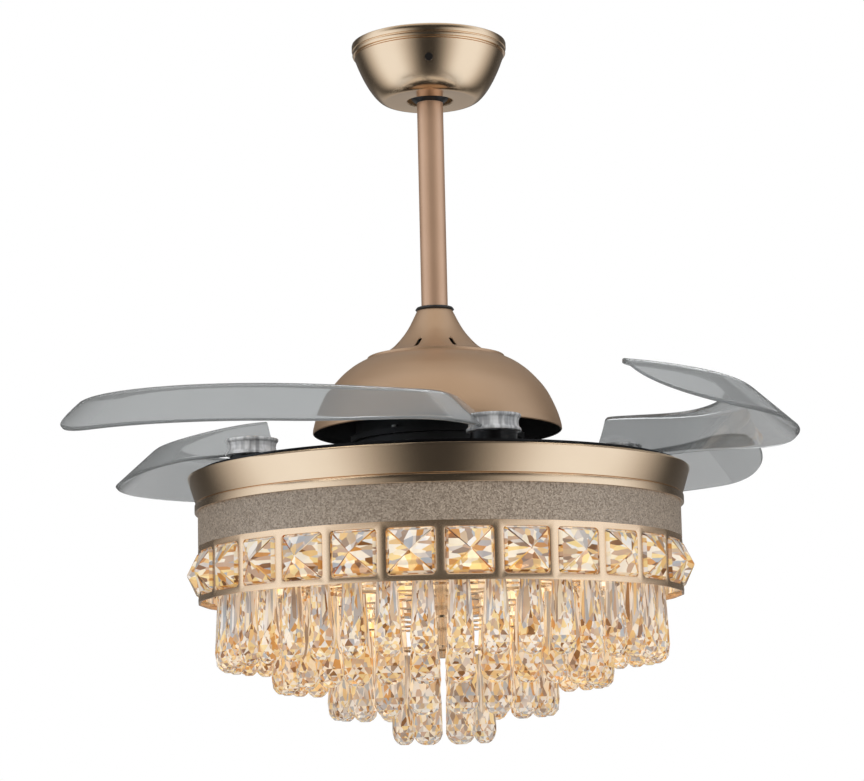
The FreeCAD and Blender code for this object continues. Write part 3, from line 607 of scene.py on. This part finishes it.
smoke_tone = (0.5, 0.515, 0.52)
smoke, smoke_tree, smoke_shader = new_material(
    "Smoke acrylic", {"Roughness": 0.03, "IOR": 1.49, "Transmission Weight": 0.7})
smoke_place = add_node(smoke_tree, "TexCoord", {})["Object"]
flow = add_node(smoke_tree, "TexNoise", {"Vector": smoke_place, "Scale": 20.0})["Fac"]
wave = add_node(smoke_tree, "Bump", {"Height": flow, "Strength": 0.15, "Distance": 0.0004})
smoke_shade = mixed(smoke_tree, flow,
    (*[value * 0.97 for value in smoke_tone], 1), (*[value * 1.03 for value in smoke_tone], 1))
feed(smoke_tree, smoke_shader, {"Base Color": smoke_shade, "Normal": wave["Normal"]})

# The hub's vertical grey-to-white stripes are painted glints and painted light. The hub itself is
# smooth and clear.
hub_clear, hub_tree, hub_shader = new_material(
    "Hub acrylic with painted glints", {"Roughness": 0.08, "IOR": 1.49, "Transmission Weight": 0.35})
hub_place = add_node(hub_tree, "TexCoord", {})["Object"]
glint_stretch = add_node(hub_tree, "Mapping", {"Vector": hub_place, "Scale": (1.0, 1.0, 0.12)})
painted_glint_noise = add_node(hub_tree, "TexNoise", {"Vector": glint_stretch["Vector"], "Scale": 210.0,
    "Detail": 1.0})
painted_glint_tone = colour_ramp(hub_tree, painted_glint_noise["Fac"],
    ((0.36, (0.46, 0.465, 0.475)), (0.62, (0.96, 0.97, 0.98))))
feed(hub_tree, hub_shader, {"Base Color": painted_glint_tone})

hub_foot = plate_edge + 0.0172
hub_top = hub_foot + 0.016
hub_radius = 0.026
hub_waist = 0.0235
hub_neck = 0.0242  # radius above and below the waist
hub_flange = 0.0024
neck_rise = 0.0042
pin_bore = 0.00505
hub_outline = eased([(pin_bore, hub_foot), (hub_radius, hub_foot),
    (hub_radius, hub_foot + hub_flange), (hub_neck, hub_foot + neck_rise),
    (hub_waist, hub_foot + 0.008), (hub_neck, hub_top - neck_rise),
    (hub_radius, hub_top - hub_flange), (hub_radius, hub_top), (pin_bore, hub_top)], 0.0008)


def hub_piece(name, outline):
    points, faces = ring_mesh(outline, 72)
    return made(name, [(x + pivot_reach, y, z) for x, y, z in points], faces, hub_clear, 40)


def hub_room(name, radius, low, high):
    """A plug on the pivot's axis, to cut a round room from the blade."""
    core = 0.0002
    return hub_piece(name, [(core, low), (radius, low), (radius, high), (core, high)])


blade_points, blade_faces = blade_mesh()
pivot = Matrix.Translation((pivot_reach, 0, 0))
opened = pivot @ Matrix.Rotation(blade_open, 4, "Z") @ pivot.inverted()
for number, pivot_turn in enumerate(pivot_turns, 1):
    blade = made("clear_blade_%d" % number, blade_points, blade_faces, smoke, 40)
    round_off = blade.modifiers.new("rounded rim", "BEVEL")
    round_off.width = rim_round
    round_off.segments = 3
    round_off.limit_method = "ANGLE"
    round_off.angle_limit = radians(50)
    settled(blade)
    skirt_room = hub_room("skirt_room", 0.029, plate_edge - 0.01, hub_top - 0.0018)
    pin_room = hub_room("pin_room", 0.011, hub_top - 0.003, hub_top + 0.09)
    cut_or_joined(blade, "DIFFERENCE", skirt_room, pin_room)
    cut_or_joined(blade, "UNION", hub_piece("hub", hub_outline), corner_angle=40)
    blade.data.transform(Matrix.Rotation(pivot_turn, 4, "Z") @ opened)
    blade.data.update()
    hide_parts("blade_%d" % number)
    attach(blade, "blade_arm_%d" % number)


# Pivot pins: turned from steel and plated as the canopy is. Each stands in a boss of the plate
# and has a flat head over its blade's hub.
dress(champagne, "pivot_pins")


# Lamp pan, board, lamps and driver: a white reflector pan, and under it the board with its warm
# lamps and the white-cased driver that feeds them.
dress(plated("White reflector coat", (0.86, 0.84, 0.78), (0.8, 0.78, 0.72),
    smooth=0.4, rough=0.55), "lamp_pan")
dress(plated("Lamp board mask", (0.88, 0.87, 0.82), (0.82, 0.8, 0.74), smooth=0.3, rough=0.45),
    "lamp_board")
lamp_glow = plated("Lit lamp", (1.0, 0.78, 0.4), (1.0, 0.7, 0.3), smooth=0.3, rough=0.4)
feed(lamp_glow.node_tree, lamp_glow.node_tree.nodes["Principled BSDF"],
    {"Emission Color": (1.0, 0.66, 0.28, 1), "Emission Strength": 3.0})
dress(lamp_glow, "lamps")
dress(white_case, "lamp_driver")


# Gold band: rolled from sheet, flared to a bright lip with a step at its foot, and plated and
# brushed as the canopy is. It is pressed over the pan's rim.
band_rim = 0.25
band_foot = plate_edge - 0.027
band_step = band_foot - 0.0083
groove_radius = 0.2408
step_radius = 0.2434
step_inside = 0.238
wall_inside = 0.2396
rim_inside = 0.2486
band_outline = eased([(band_rim, plate_edge), (band_rim, plate_edge - 0.0024),
    (0.2421, band_foot + 0.0004), (groove_radius, band_foot + 0.0001),
    (groove_radius, band_foot - 0.0006), (step_radius, band_foot - 0.0009),
    (step_radius, band_step), (step_inside, band_step), (step_inside, band_step + sheet_metal),
    (wall_inside, band_step + sheet_metal), (wall_inside, band_foot + 0.001),
    (rim_inside, plate_edge - 0.0026), (rim_inside, plate_edge)], 0.0005)
gold_band = spun("flared_band", band_outline, champagne, 288)
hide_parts("gold_band")
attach(gold_band, "fixture")


# Glitter band: a strip coated with fine glass glitter in clear lacquer. It is glued round the
# pan, between the gold band and the crystal frame.
def glitter_group():
    """Crowded grains that each have their own tone and lie at their own slope."""
    group, given, result = shader_group("Glitter grains",
        {"Grain Size": 0.001, "Dark": (0, 0, 0, 1), "Light": (1, 1, 1, 1)}, surface_outputs)
    place = add_node(group, "TexCoord", {})["Object"]
    fineness = worked_out(group, "DIVIDE", 1.0, given["Grain Size"])
    grains = add_node(group, "TexVoronoi", {"Vector": place, "Scale": fineness})
    pick = add_node(group, "SeparateColor", {"Color": grains["Color"]})
    tone = mixed(group, pick["Red"], given["Dark"], given["Light"])
    gloss = add_node(group, "MapRange", {"Value": pick["Green"], "To Min": 0.25, "To Max": 0.7})
    slope = add_node(group, "Bump", {"Height": grains["Distance"], "Strength": 0.6,
        "Distance": 0.0005})
    feed(group, result, {"Color": tone, "Roughness": gloss["Result"], "Normal": slope["Normal"]})
    return group


dress(surfaced("Taupe glitter", glitter_group(),
    {"Grain Size": 0.0012, "Dark": (0.26, 0.198, 0.146, 1), "Light": (0.585, 0.475, 0.37, 1)},
    {"Metallic": 0.3}, surface_feeds), "glitter_band")


# Crystal frame: punched from sheet with 28 round-cornered windows, rolled into a ring and plated
# in a pale champagne. A flange inside its top edge holds it under the pan's rim.
frame_plating = champagne_finish("Frame plating", (0.9, 0.65, 0.43), (0.83, 0.58, 0.37),
    smooth=0.2, rough=0.26, brushed=0.3, metallic=0.92)
frame_radius = 0.2408
frame_wall = 0.002
frame_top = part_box("frame_top_rail")[1].z
frame_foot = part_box("frame_bottom_rail")[0].z
frame_half = (frame_top - frame_foot) / 2
frame_middle = (frame_top + frame_foot) / 2
window_count = 28
cell_half = pi * frame_radius / window_count
window_half = cell_half - 0.0048
window_high = frame_half - 0.006
window_corner = 0.0036
edge_round = 0.0013  # the rounding round each window, and its middle
edge_round_middle = 0.0004
flange_inner = frame_radius - 0.01
flange_outer = frame_radius - 0.0021
flange_low = frame_top - 0.0013
flange_high = frame_top - 0.0001


def window_ring(outset, steps=6):
    """The window's round-cornered rim, or one further out, from its right side round once."""
    corner = window_corner + outset
    ring = []
    for number in range(4):
        side_x = (window_half + outset - corner) * (1 if number in (0, 3) else -1)
        side_y = (window_high + outset - corner) * (1 if number in (0, 1) else -1)
        for step in range(steps + 1):
            angle = pi / 2 * (number + step / steps)
            ring.append((side_x + corner * cos(angle), side_y + corner * sin(angle)))
    return ring


def to_cell_edge(x, y):
    scale = min(cell_half / abs(x) if x else 1e9, frame_half / abs(y) if y else 1e9)
    return x * scale, y * scale


def cell_facing(cell):
    """The angle at which a window and its crystal face out. Two share the front."""
    return radians(180 / window_count - 90 + 360 * cell / window_count)


opening = window_ring(0)
wider = window_ring(edge_round)
edge_ring = [to_cell_edge(x, y) for x, y in wider]
for corner in [(x, y) for x in (cell_half, -cell_half) for y in (frame_half, -frame_half)]:
    near = min(range(len(edge_ring)), key=lambda i: dist(edge_ring[i], corner))
    edge_ring[near] = corner
frame_points = []
frame_faces = []
ring_count = len(opening)
for cell in range(window_count):
    start = len(frame_points)
    for ring, radius in ((edge_ring, frame_radius), (wider, frame_radius),
            (window_ring(edge_round_middle), frame_radius - edge_round_middle),
            (opening, frame_radius - edge_round), (opening, frame_radius - frame_wall),
            (edge_ring, frame_radius - frame_wall)):
        frame_points += [round_axis(radius, cell_facing(cell) + x / frame_radius, frame_middle + y)
            for x, y in ring]
    for low in range(start, start + 5 * ring_count, ring_count):
        frame_faces += wall(low, low + ring_count, ring_count)
    for i, edge_face in enumerate(wall(start, start + 5 * ring_count, ring_count)):
        y, next_y = edge_ring[i][1], edge_ring[(i + 1) % ring_count][1]
        if y == next_y or abs(abs(y + next_y) - 2 * frame_half) < 1e-9:
            frame_faces.append(edge_face)
flange_points, flange_faces = ring_mesh([(flange_inner, flange_low), (flange_outer, flange_low),
    (flange_outer, flange_high), (flange_inner, flange_high)], 192)
start = len(frame_points)
frame_points += flange_points
frame_faces += [tuple(start + corner for corner in face) for face in flange_faces]
window_frame = made("window_frame", frame_points, frame_faces, frame_plating, 40)
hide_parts("frame_top_rail", "frame_bottom_rail", "frame_bars")
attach(window_frame, "fixture")


# Square crystals: cut and polished glass, a plate behind each window whose front rises in facets
# to a point. They are clipped to the frame from behind. Their colours are painted reflections and
# glints of the warm lamps and the metal, and they glow a little with painted light.
def painted_reflection_group():
    """Painted reflections for cut glass: slivers of painted light and of the metal round it, broken
    at every facet.
    """
    group, given, result = shader_group("Cut glass painted reflections",
        {"Sliver Width": 0.004, "Sliver Length": 0.008, "Warmth": 0.5, "Depth": 1.0},
        {"Color": "Color"})
    parts = add_node(group, "SeparateXYZ", {"Vector": add_node(group, "UVMap", {})["UV"]})
    across = worked_out(group, "DIVIDE", parts["X"], given["Sliver Width"])
    along = worked_out(group, "DIVIDE", parts["Y"], given["Sliver Length"])
    place = add_node(group, "CombineXYZ", {"X": across, "Y": along})
    cells = add_node(group, "TexVoronoi", {"Vector": place["Vector"], "Scale": 1.0})
    pick = add_node(group, "SeparateColor", {"Color": cells["Color"]})
    # Cool painted reflections of the room and metal, and warm painted glints of the lamps.
    cool = colour_ramp(group, pick["Red"], (
        (0.0, (0.5, 0.48, 0.48)), (0.14, (0.36, 0.27, 0.21)), (0.26, (0.72, 0.66, 0.61)),
        (0.44, (0.95, 0.93, 0.9)), (0.64, (0.46, 0.5, 0.55)), (0.78, (0.66, 0.5, 0.34)),
        (0.88, (0.96, 0.87, 0.68))), "CONSTANT")
    warm = colour_ramp(group, pick["Red"], (
        (0.0, (0.96, 0.76, 0.38)), (0.18, (0.66, 0.33, 0.1)), (0.32, (1.0, 0.93, 0.8)),
        (0.5, (0.62, 0.44, 0.32)), (0.66, (0.88, 0.62, 0.3)), (0.82, (0.26, 0.125, 0.05)),
        (0.92, (0.98, 0.9, 0.74))), "CONSTANT")
    side = worked_out(group, "LESS_THAN", pick["Green"], given["Warmth"])
    shade = mixed(group, side, cool, warm)
    # Depth darkens the painted light further, as painted shade.
    deepen = add_node(group, "Gamma", {"Color": shade, "Gamma": given["Depth"]})
    feed(group, result, {"Color": deepen["Color"]})
    return group


cut_glass_painted_light = painted_reflection_group()


def crystal_glass(name, width, length, warmth, clearness, glow, depth=1.0):
    """Cut glass whose facets show painted reflections in slivers of this width and length, some of
    them warm painted glints. The same colour glows as painted light.
    """
    return surfaced(name, cut_glass_painted_light,
        {"Sliver Width": width, "Sliver Length": length, "Warmth": warmth, "Depth": depth},
        {"Roughness": 0.05, "IOR": 1.52, "Transmission Weight": clearness,
        "Emission Strength": glow}, {"Base Color": "Color", "Emission Color": "Color"})


def faceted(name, crystals, materials):
    """Crystals in one piece. A facet has its corners, its finish and its spots in the slivers."""
    points = []
    facets = []
    for crystal_points, crystal_facets in crystals:
        start = len(points)
        points += crystal_points
        facets += [(tuple(start + corner for corner in corners), finish, spots)
            for corners, finish, spots in crystal_facets]
    mesh = bpy.data.meshes.new(name)
    mesh.from_pydata(points, [], [corners for corners, finish, spots in facets])
    for material in materials:
        mesh.materials.append(material)
    layer = mesh.uv_layers.new(name="slivers")
    for face, (corners, finish, spots) in zip(mesh.polygons, facets):
        face.material_index = finish
        for loop, spot in zip(face.loop_indices, spots):
            layer.data[loop].uv = spot
    return placed(name, mesh)


facet_luck = random.Random(28)


def facet_outward(points, corners):
    first, second, third = [points[corner] for corner in corners[:3]]
    return (second - first).cross(third - first).normalized()


def facet_spots(points, corners):
    """Where a facet reads the slivers: across and down its own slope, from a place of its own."""
    outward = facet_outward(points, corners)
    down = Vector((0, 0, -1)) - outward * -outward.z
    if down.length < 0.1:
        down = Vector((0, 1, 0)) - outward * outward.y
    down.normalize()
    across = outward.cross(down)
    aside, above = facet_luck.uniform(0, 3), facet_luck.uniform(0, 3)
    return [(points[corner].dot(across) + aside, points[corner].dot(down) + above)
        for corner in corners]


def corner_spots(points, corners):
    """The same for a corner facet, whose slivers run from the rim in to the point."""
    outer, inner = [(points[corners[i]] + points[corners[i + 1]]) / 2 for i in (0, 2)]
    inward = (inner - outer).normalized()
    across = inward.cross(Vector((1, 0, 0))).normalized()
    aside = facet_luck.uniform(0, 3)
    return [((points[corner] - outer).dot(across) + aside,
        (points[corner] - outer).dot(inward) + aside) for corner in corners]


square_overlap = 0.0016  # how far the plate reaches behind the frame round the window
square_gap = 0.0008
bevel_rise = 0.0042
bevel_share = 0.91
point_share = 0.03
square_half = window_half + square_overlap
square_high = window_high + square_overlap
front_half = window_half - square_gap
front_high = window_high - square_gap
square_front = sqrt((frame_radius - frame_wall) ** 2 - square_half ** 2)
square_back = square_front - 0.004
square_peak = frame_radius + 0.0105
square_rings = ((square_back, square_half, square_high, 0.14),
    (square_front, square_half, square_high, 0.14), (square_front, front_half, front_high, 0.032),
    (square_front + bevel_rise, front_half * bevel_share, front_high * bevel_share, 0.03),
    (square_peak, window_half * point_share, window_high * point_share, 0.2))
square_points = []
for depth, half_width, half_height, clip in square_rings:
    cut = clip * (half_width + half_height)
    half_outline = ((half_width, cut - half_height), (half_width, half_height - cut),
        (half_width - cut, half_height), (cut - half_width, half_height))
    square_points += [Vector((depth, side * y, side * z))
        for side in (1, -1) for y, z in half_outline]
side_facet, corner_facet, top_facet, low_facet = range(4)
facet_finishes = (side_facet, corner_facet, top_facet, corner_facet,
    side_facet, corner_facet, low_facet, corner_facet)
square_facets = [(tuple(range(7, -1, -1)), top_facet), (tuple(range(32, 40)), top_facet)]
for low in range(0, 32, 8):
    square_facets += zip(wall(low, low + 8, 8), facet_finishes)
squares = []
for cell in range(window_count):
    facing = Matrix.Rotation(cell_facing(cell), 4, "Z")
    lift = Vector((0, 0, frame_middle))
    facets = []
    for corners, finish in square_facets:
        spots = facet_spots(square_points, corners)
        if finish == side_facet:
            spots = [(v, u) for u, v in spots]
        if finish == corner_facet:
            spots = corner_spots(square_points, corners)
        facets.append((corners, finish, spots))
    squares.append(([facing @ point + lift for point in square_points], facets))
# Each facet direction has its own painted light: warm painted glints on the low and corner facets,
# cooler painted reflections on the top, corners darkened as painted shade.
square_finishes = [crystal_glass("Crystal side facet", 0.0042, 0.016, 0.7, 0.3, 0.18, 1.15),
    crystal_glass("Crystal corner facet", 0.0011, 0.03, 0.98, 0.15, 0.05, 2.2),
    crystal_glass("Crystal top facet", 0.0065, 0.012, 0.22, 0.3, 0.16),
    crystal_glass("Crystal low facet", 0.0075, 0.009, 0.95, 0.3, 0.14, 1.2)]
square_crystals = faceted("square_cut_crystals", squares, square_finishes)
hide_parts("square_crystals")
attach(square_crystals, "fixture")


# Post and spoked rings: steel in a bright neutral plating. The post hangs in the hollow shaft,
# and each ring carries one tier of crystals on wire hooks.
polished = champagne_finish("Polished plating", (0.62, 0.58, 0.54), (0.56, 0.52, 0.48),
    smooth=0.04, rough=0.08, brushed=0.2)
dress(polished, "tier_post", "tier_ring_1", "tier_ring_2", "tier_ring_3", "tier_ring_4",
    "drop_hooks")


# Hanging crystals: four tiers of long cut drops, narrow at the hook and full near the tip, where
# short facets turned half a step against each other end in a round point. Their colours are painted
# reflections and glints; the inner two tiers take cooler painted light, as painted shade away from
# the lamps' warm light.
drop_length = 0.086
drop_width = 0.0255
drop_depth = 0.021
drop_sides = 8
shoulder_ring = 5  # the drop's last full ring, whose every second corner is higher
shoulder_reach = 0.17
tiers_reach = 0.238
drop_rings = ((0.0, 0.36), (0.025, 0.64), (0.065, 0.86), (0.125, 0.98), (0.2, 1.0),
    (0.31, 0.95), (1.0, 0.68))  # share of the length, share of the girth
tier_sizes = ((0.899, 40, 1.0, "drops_tier_1"), (0.668, 30, 1.14, "drops_tier_2"),
    (0.437, 18, 1.25, "drops_tier_3"), (0.181, 8, 1.25, "drops_tier_4"))
drop_points = []
for number, (level, girth) in enumerate(drop_rings):
    for side in range(drop_sides):
        angle = 2 * pi * (side + 0.5 * (number % 2)) / drop_sides
        reach = shoulder_reach if number == shoulder_ring and side % 2 else 0.0
        drop_points.append(Vector((drop_depth / 2 * girth * cos(angle),
            drop_width / 2 * girth * sin(angle), drop_length * (level + reach))))
drop_facets = [tuple(range(drop_sides - 1, -1, -1)),
    tuple(range(len(drop_points) - drop_sides, len(drop_points)))]
for number in range(len(drop_rings) - 1):
    low = number * drop_sides
    for a, b, c, d in wall(low, low + drop_sides, drop_sides):
        drop_facets += [(a, c, d), (a, b, c)] if number % 2 else [(a, b, d), (b, c, d)]
# Tips take warm painted glints, the shank's sides cool painted streaks of reflection and its faces
# mottled painted light. The inner tiers' copies are cooler: painted shade.
warm_painted_light_finishes = [crystal_glass("Crystal tip", 0.0056, 0.0065, 0.74, 0.35, 0.16),
    crystal_glass("Crystal shank side", 0.0032, 0.024, 0.14, 0.35, 0.12),
    crystal_glass("Crystal shank face", 0.003, 0.0055, 0.58, 0.35, 0.14)]
cool_painted_shade_finishes = [crystal_glass("Low crystal tip", 0.004, 0.011, 0.42, 0.4, 0.14),
    crystal_glass("Low crystal shank side", 0.003, 0.028, 0.1, 0.4, 0.1),
    crystal_glass("Low crystal shank face", 0.0026, 0.012, 0.34, 0.4, 0.1)]
tip_facet, shank_side, shank_face = range(3)
drop_finish = []
for corners in drop_facets:
    if max(drop_points[corner].z for corner in corners) < 0.5 * drop_length:
        drop_finish.append(tip_facet)
    else:
        aside = abs(facet_outward(drop_points, corners).y)
        drop_finish.append(shank_side if aside > 0.55 else shank_face)
for share, count, fullness, node in tier_sizes:
    drops = []
    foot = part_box(node)[0].z
    for number in range(count):
        turn = Matrix.Rotation(radians(-90 + 180 / count + 360 * number / count), 4, "Z")
        turn @= Matrix.Translation((tiers_reach * share, 0, foot))
        turn @= Matrix.Diagonal((1, fullness, 1, 1))
        facets = [(corners, finish, facet_spots(drop_points, corners))
            for corners, finish in zip(drop_facets, drop_finish)]
        drops.append(([turn @ point for point in drop_points], facets))
    tier = faceted("cut_" + node, drops, warm_painted_light_finishes if count > 20 else cool_painted_shade_finishes)
    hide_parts(node)
    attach(tier, "fixture")


# Floor: plain and pale, a room's height below the ceiling. It takes the object's shadow and is
# not part of it.
floor_reach = 1.6
floor_drop = 2.4
floor_sides = 72
floor_rim = [round_axis(floor_reach, 2 * pi * i / floor_sides, -floor_drop)
    for i in range(floor_sides)]
pale_floor = plated("Pale floor", (0.86, 0.86, 0.85), (0.84, 0.84, 0.83), smooth=0.6, rough=0.7)
made("floor", floor_rim, [tuple(range(floor_sides))], pale_floor)


# Studio: a white surround to the camera and through the clear pieces. What the metal mirrors is
# the room: two broad light walls at left and right, a dark gap on the camera's side and a dim far
# end with a lighter floor.
world = bpy.data.worlds.new("Studio")
bpy.context.scene.world = world
world.use_nodes = True
sky = world.node_tree
sky.nodes.clear()
seen = add_node(sky, "LightPath", {})
axes = add_node(sky, "SeparateXYZ", {"Vector": add_node(sky, "TexCoord", {})["Generated"]})


def times(first, second):
    return worked_out(sky, "MULTIPLY", first, second)


def plus(first, second):
    return worked_out(sky, "ADD", first, second)


def sky_ramp(value, start, end):
    """Goes smoothly from 0 at the start to 1 at the end."""
    node = sky.nodes.new("ShaderNodeMapRange")
    node.interpolation_type = "SMOOTHSTEP"
    feed(sky, node, {"Value": value, "From Min": start, "From Max": end})
    return node.outputs["Result"]


def sky_share(share, outside, inside):
    """One level where the share is 0, the other where it is 1."""
    rest = worked_out(sky, "SUBTRACT", 1.0, share)
    return plus(times(outside, rest), times(inside, share))


def backdrop(colour, strength):
    return add_node(sky, "Background", {"Color": colour, "Strength": strength})[0]


def either(share, first, second):
    return add_node(sky, "MixShader", {"Fac": share, 1: first, 2: second})[0]


wall_light = 1.0  # how light each part of the room is
gap_light = 0.028
far_end_light = 0.09
far_floor_light = 0.28
ceiling_light = 0.3
ground_light = 0.08
wall_spill = 0.5  # what the walls add to the ceiling and the ground
room_strength = 1.07
ambient_strength = 0.65
turned = worked_out(sky, "ARCTAN2", axes["X"], times(axes["Y"], -1.0))
bearing = worked_out(sky, "ABSOLUTE", turned)
gap_widening = times(sky_ramp(axes["Z"], 0.13, 0.32), radians(30))
from_gap = worked_out(sky, "SUBTRACT", bearing, gap_widening)
far_side = sky_ramp(bearing, radians(135), radians(85))
walls = times(sky_ramp(from_gap, radians(8), radians(60)), far_side)
level = plus(times(walls, wall_light - gap_light), gap_light)
far_end = sky_ramp(bearing, radians(125), radians(165))
far_floor = times(sky_ramp(axes["Z"], -0.1, -0.28), far_floor_light)
level = plus(level, times(far_end, plus(far_floor, far_end_light)))
ceiling = plus(times(far_side, wall_spill), ceiling_light)
level = sky_share(sky_ramp(axes["Z"], 0.38, 0.7), level, ceiling)
ground = plus(times(walls, wall_spill), ground_light)
level = sky_share(sky_ramp(axes["Z"], -0.6, -0.85), level, ground)
room_tint = mixed(sky, times(walls, walls), (1, 1, 1, 1), (1.0, 1.12, 1.28, 1))
room = backdrop(room_tint, times(level, room_strength))
surround = backdrop((1, 1, 1, 1), 1.0)
ambient = backdrop((1, 1, 1, 1), ambient_strength)
clear_view = worked_out(sky, "MAXIMUM", seen["Is Camera Ray"], seen["Is Transmission Ray"])
all_rays = either(clear_view, either(seen["Is Glossy Ray"], ambient, room), surround)
add_node(sky, "OutputWorld", {"Surface": all_rays})


def studio_lamp(name, place, aim, width, height, power, tint):
    """A soft rectangular lamp that points from its place to its aim."""
    data = bpy.data.lights.new(name, "AREA")
    data.shape = "RECTANGLE"
    data.size = width
    data.size_y = height
    data.energy = power
    data.color = tint
    lamp = placed(name, data)
    lamp.location = place
    lamp.rotation_mode = "QUATERNION"
    lamp.rotation_quaternion = (Vector(aim) - Vector(place)).to_track_quat("-Z", "Y")
    lamp.visible_glossy = False


fan_middle = (0.0, 0.0, -0.45)
drum_inside = (0.0, 0.0, plate_edge - 0.045)
straight_down = (0.0, 0.0, -1.0)
studio_lamp("key lamp", (-1.9, -2.0, 0.9), fan_middle, 1.4, 1.4, 26.0, (1.0, 0.98, 0.95))
studio_lamp("fill lamp", (2.2, -1.6, 0.3), fan_middle, 1.4, 1.8, 16.0, (1.0, 0.98, 0.96))
studio_lamp("back lamp", (0.6, 2.4, 1.0), fan_middle, 1.6, 1.2, 18.0, (1.0, 1.0, 1.0))
studio_lamp("drum lamps", drum_inside, straight_down, 0.32, 0.32, 1.6, (1.0, 0.76, 0.48))


# Camera: the photograph's own place, a little below the drum and looking slightly up. Place,
# pitch, roll and lens were worked out from the drum's rings, the canopy and the rod.
camera_distance = 2.6309
camera_below_drum = 0.3249
camera_pitch = radians(8.88)
camera_yaw = radians(-0.1)
camera_roll = radians(-1.31)
focal_share = 2649.2 / 864.0  # focal length as a share of the picture's width
camera_data = bpy.data.cameras.new("camera")
camera_data.sensor_width = 36.0
camera_data.lens = focal_share * camera_data.sensor_width
camera = placed("camera", camera_data)
camera.matrix_world = (Matrix.Translation((0, -camera_distance, plate_edge - camera_below_drum))
    @ Matrix.Rotation(-camera_yaw, 4, "Z") @ Matrix.Rotation(pi / 2 + camera_pitch, 4, "X")
    @ Matrix.Rotation(camera_roll, 4, "Z"))
bpy.context.scene.camera = camera
bpy.context.scene.view_settings.view_transform = "Standard"
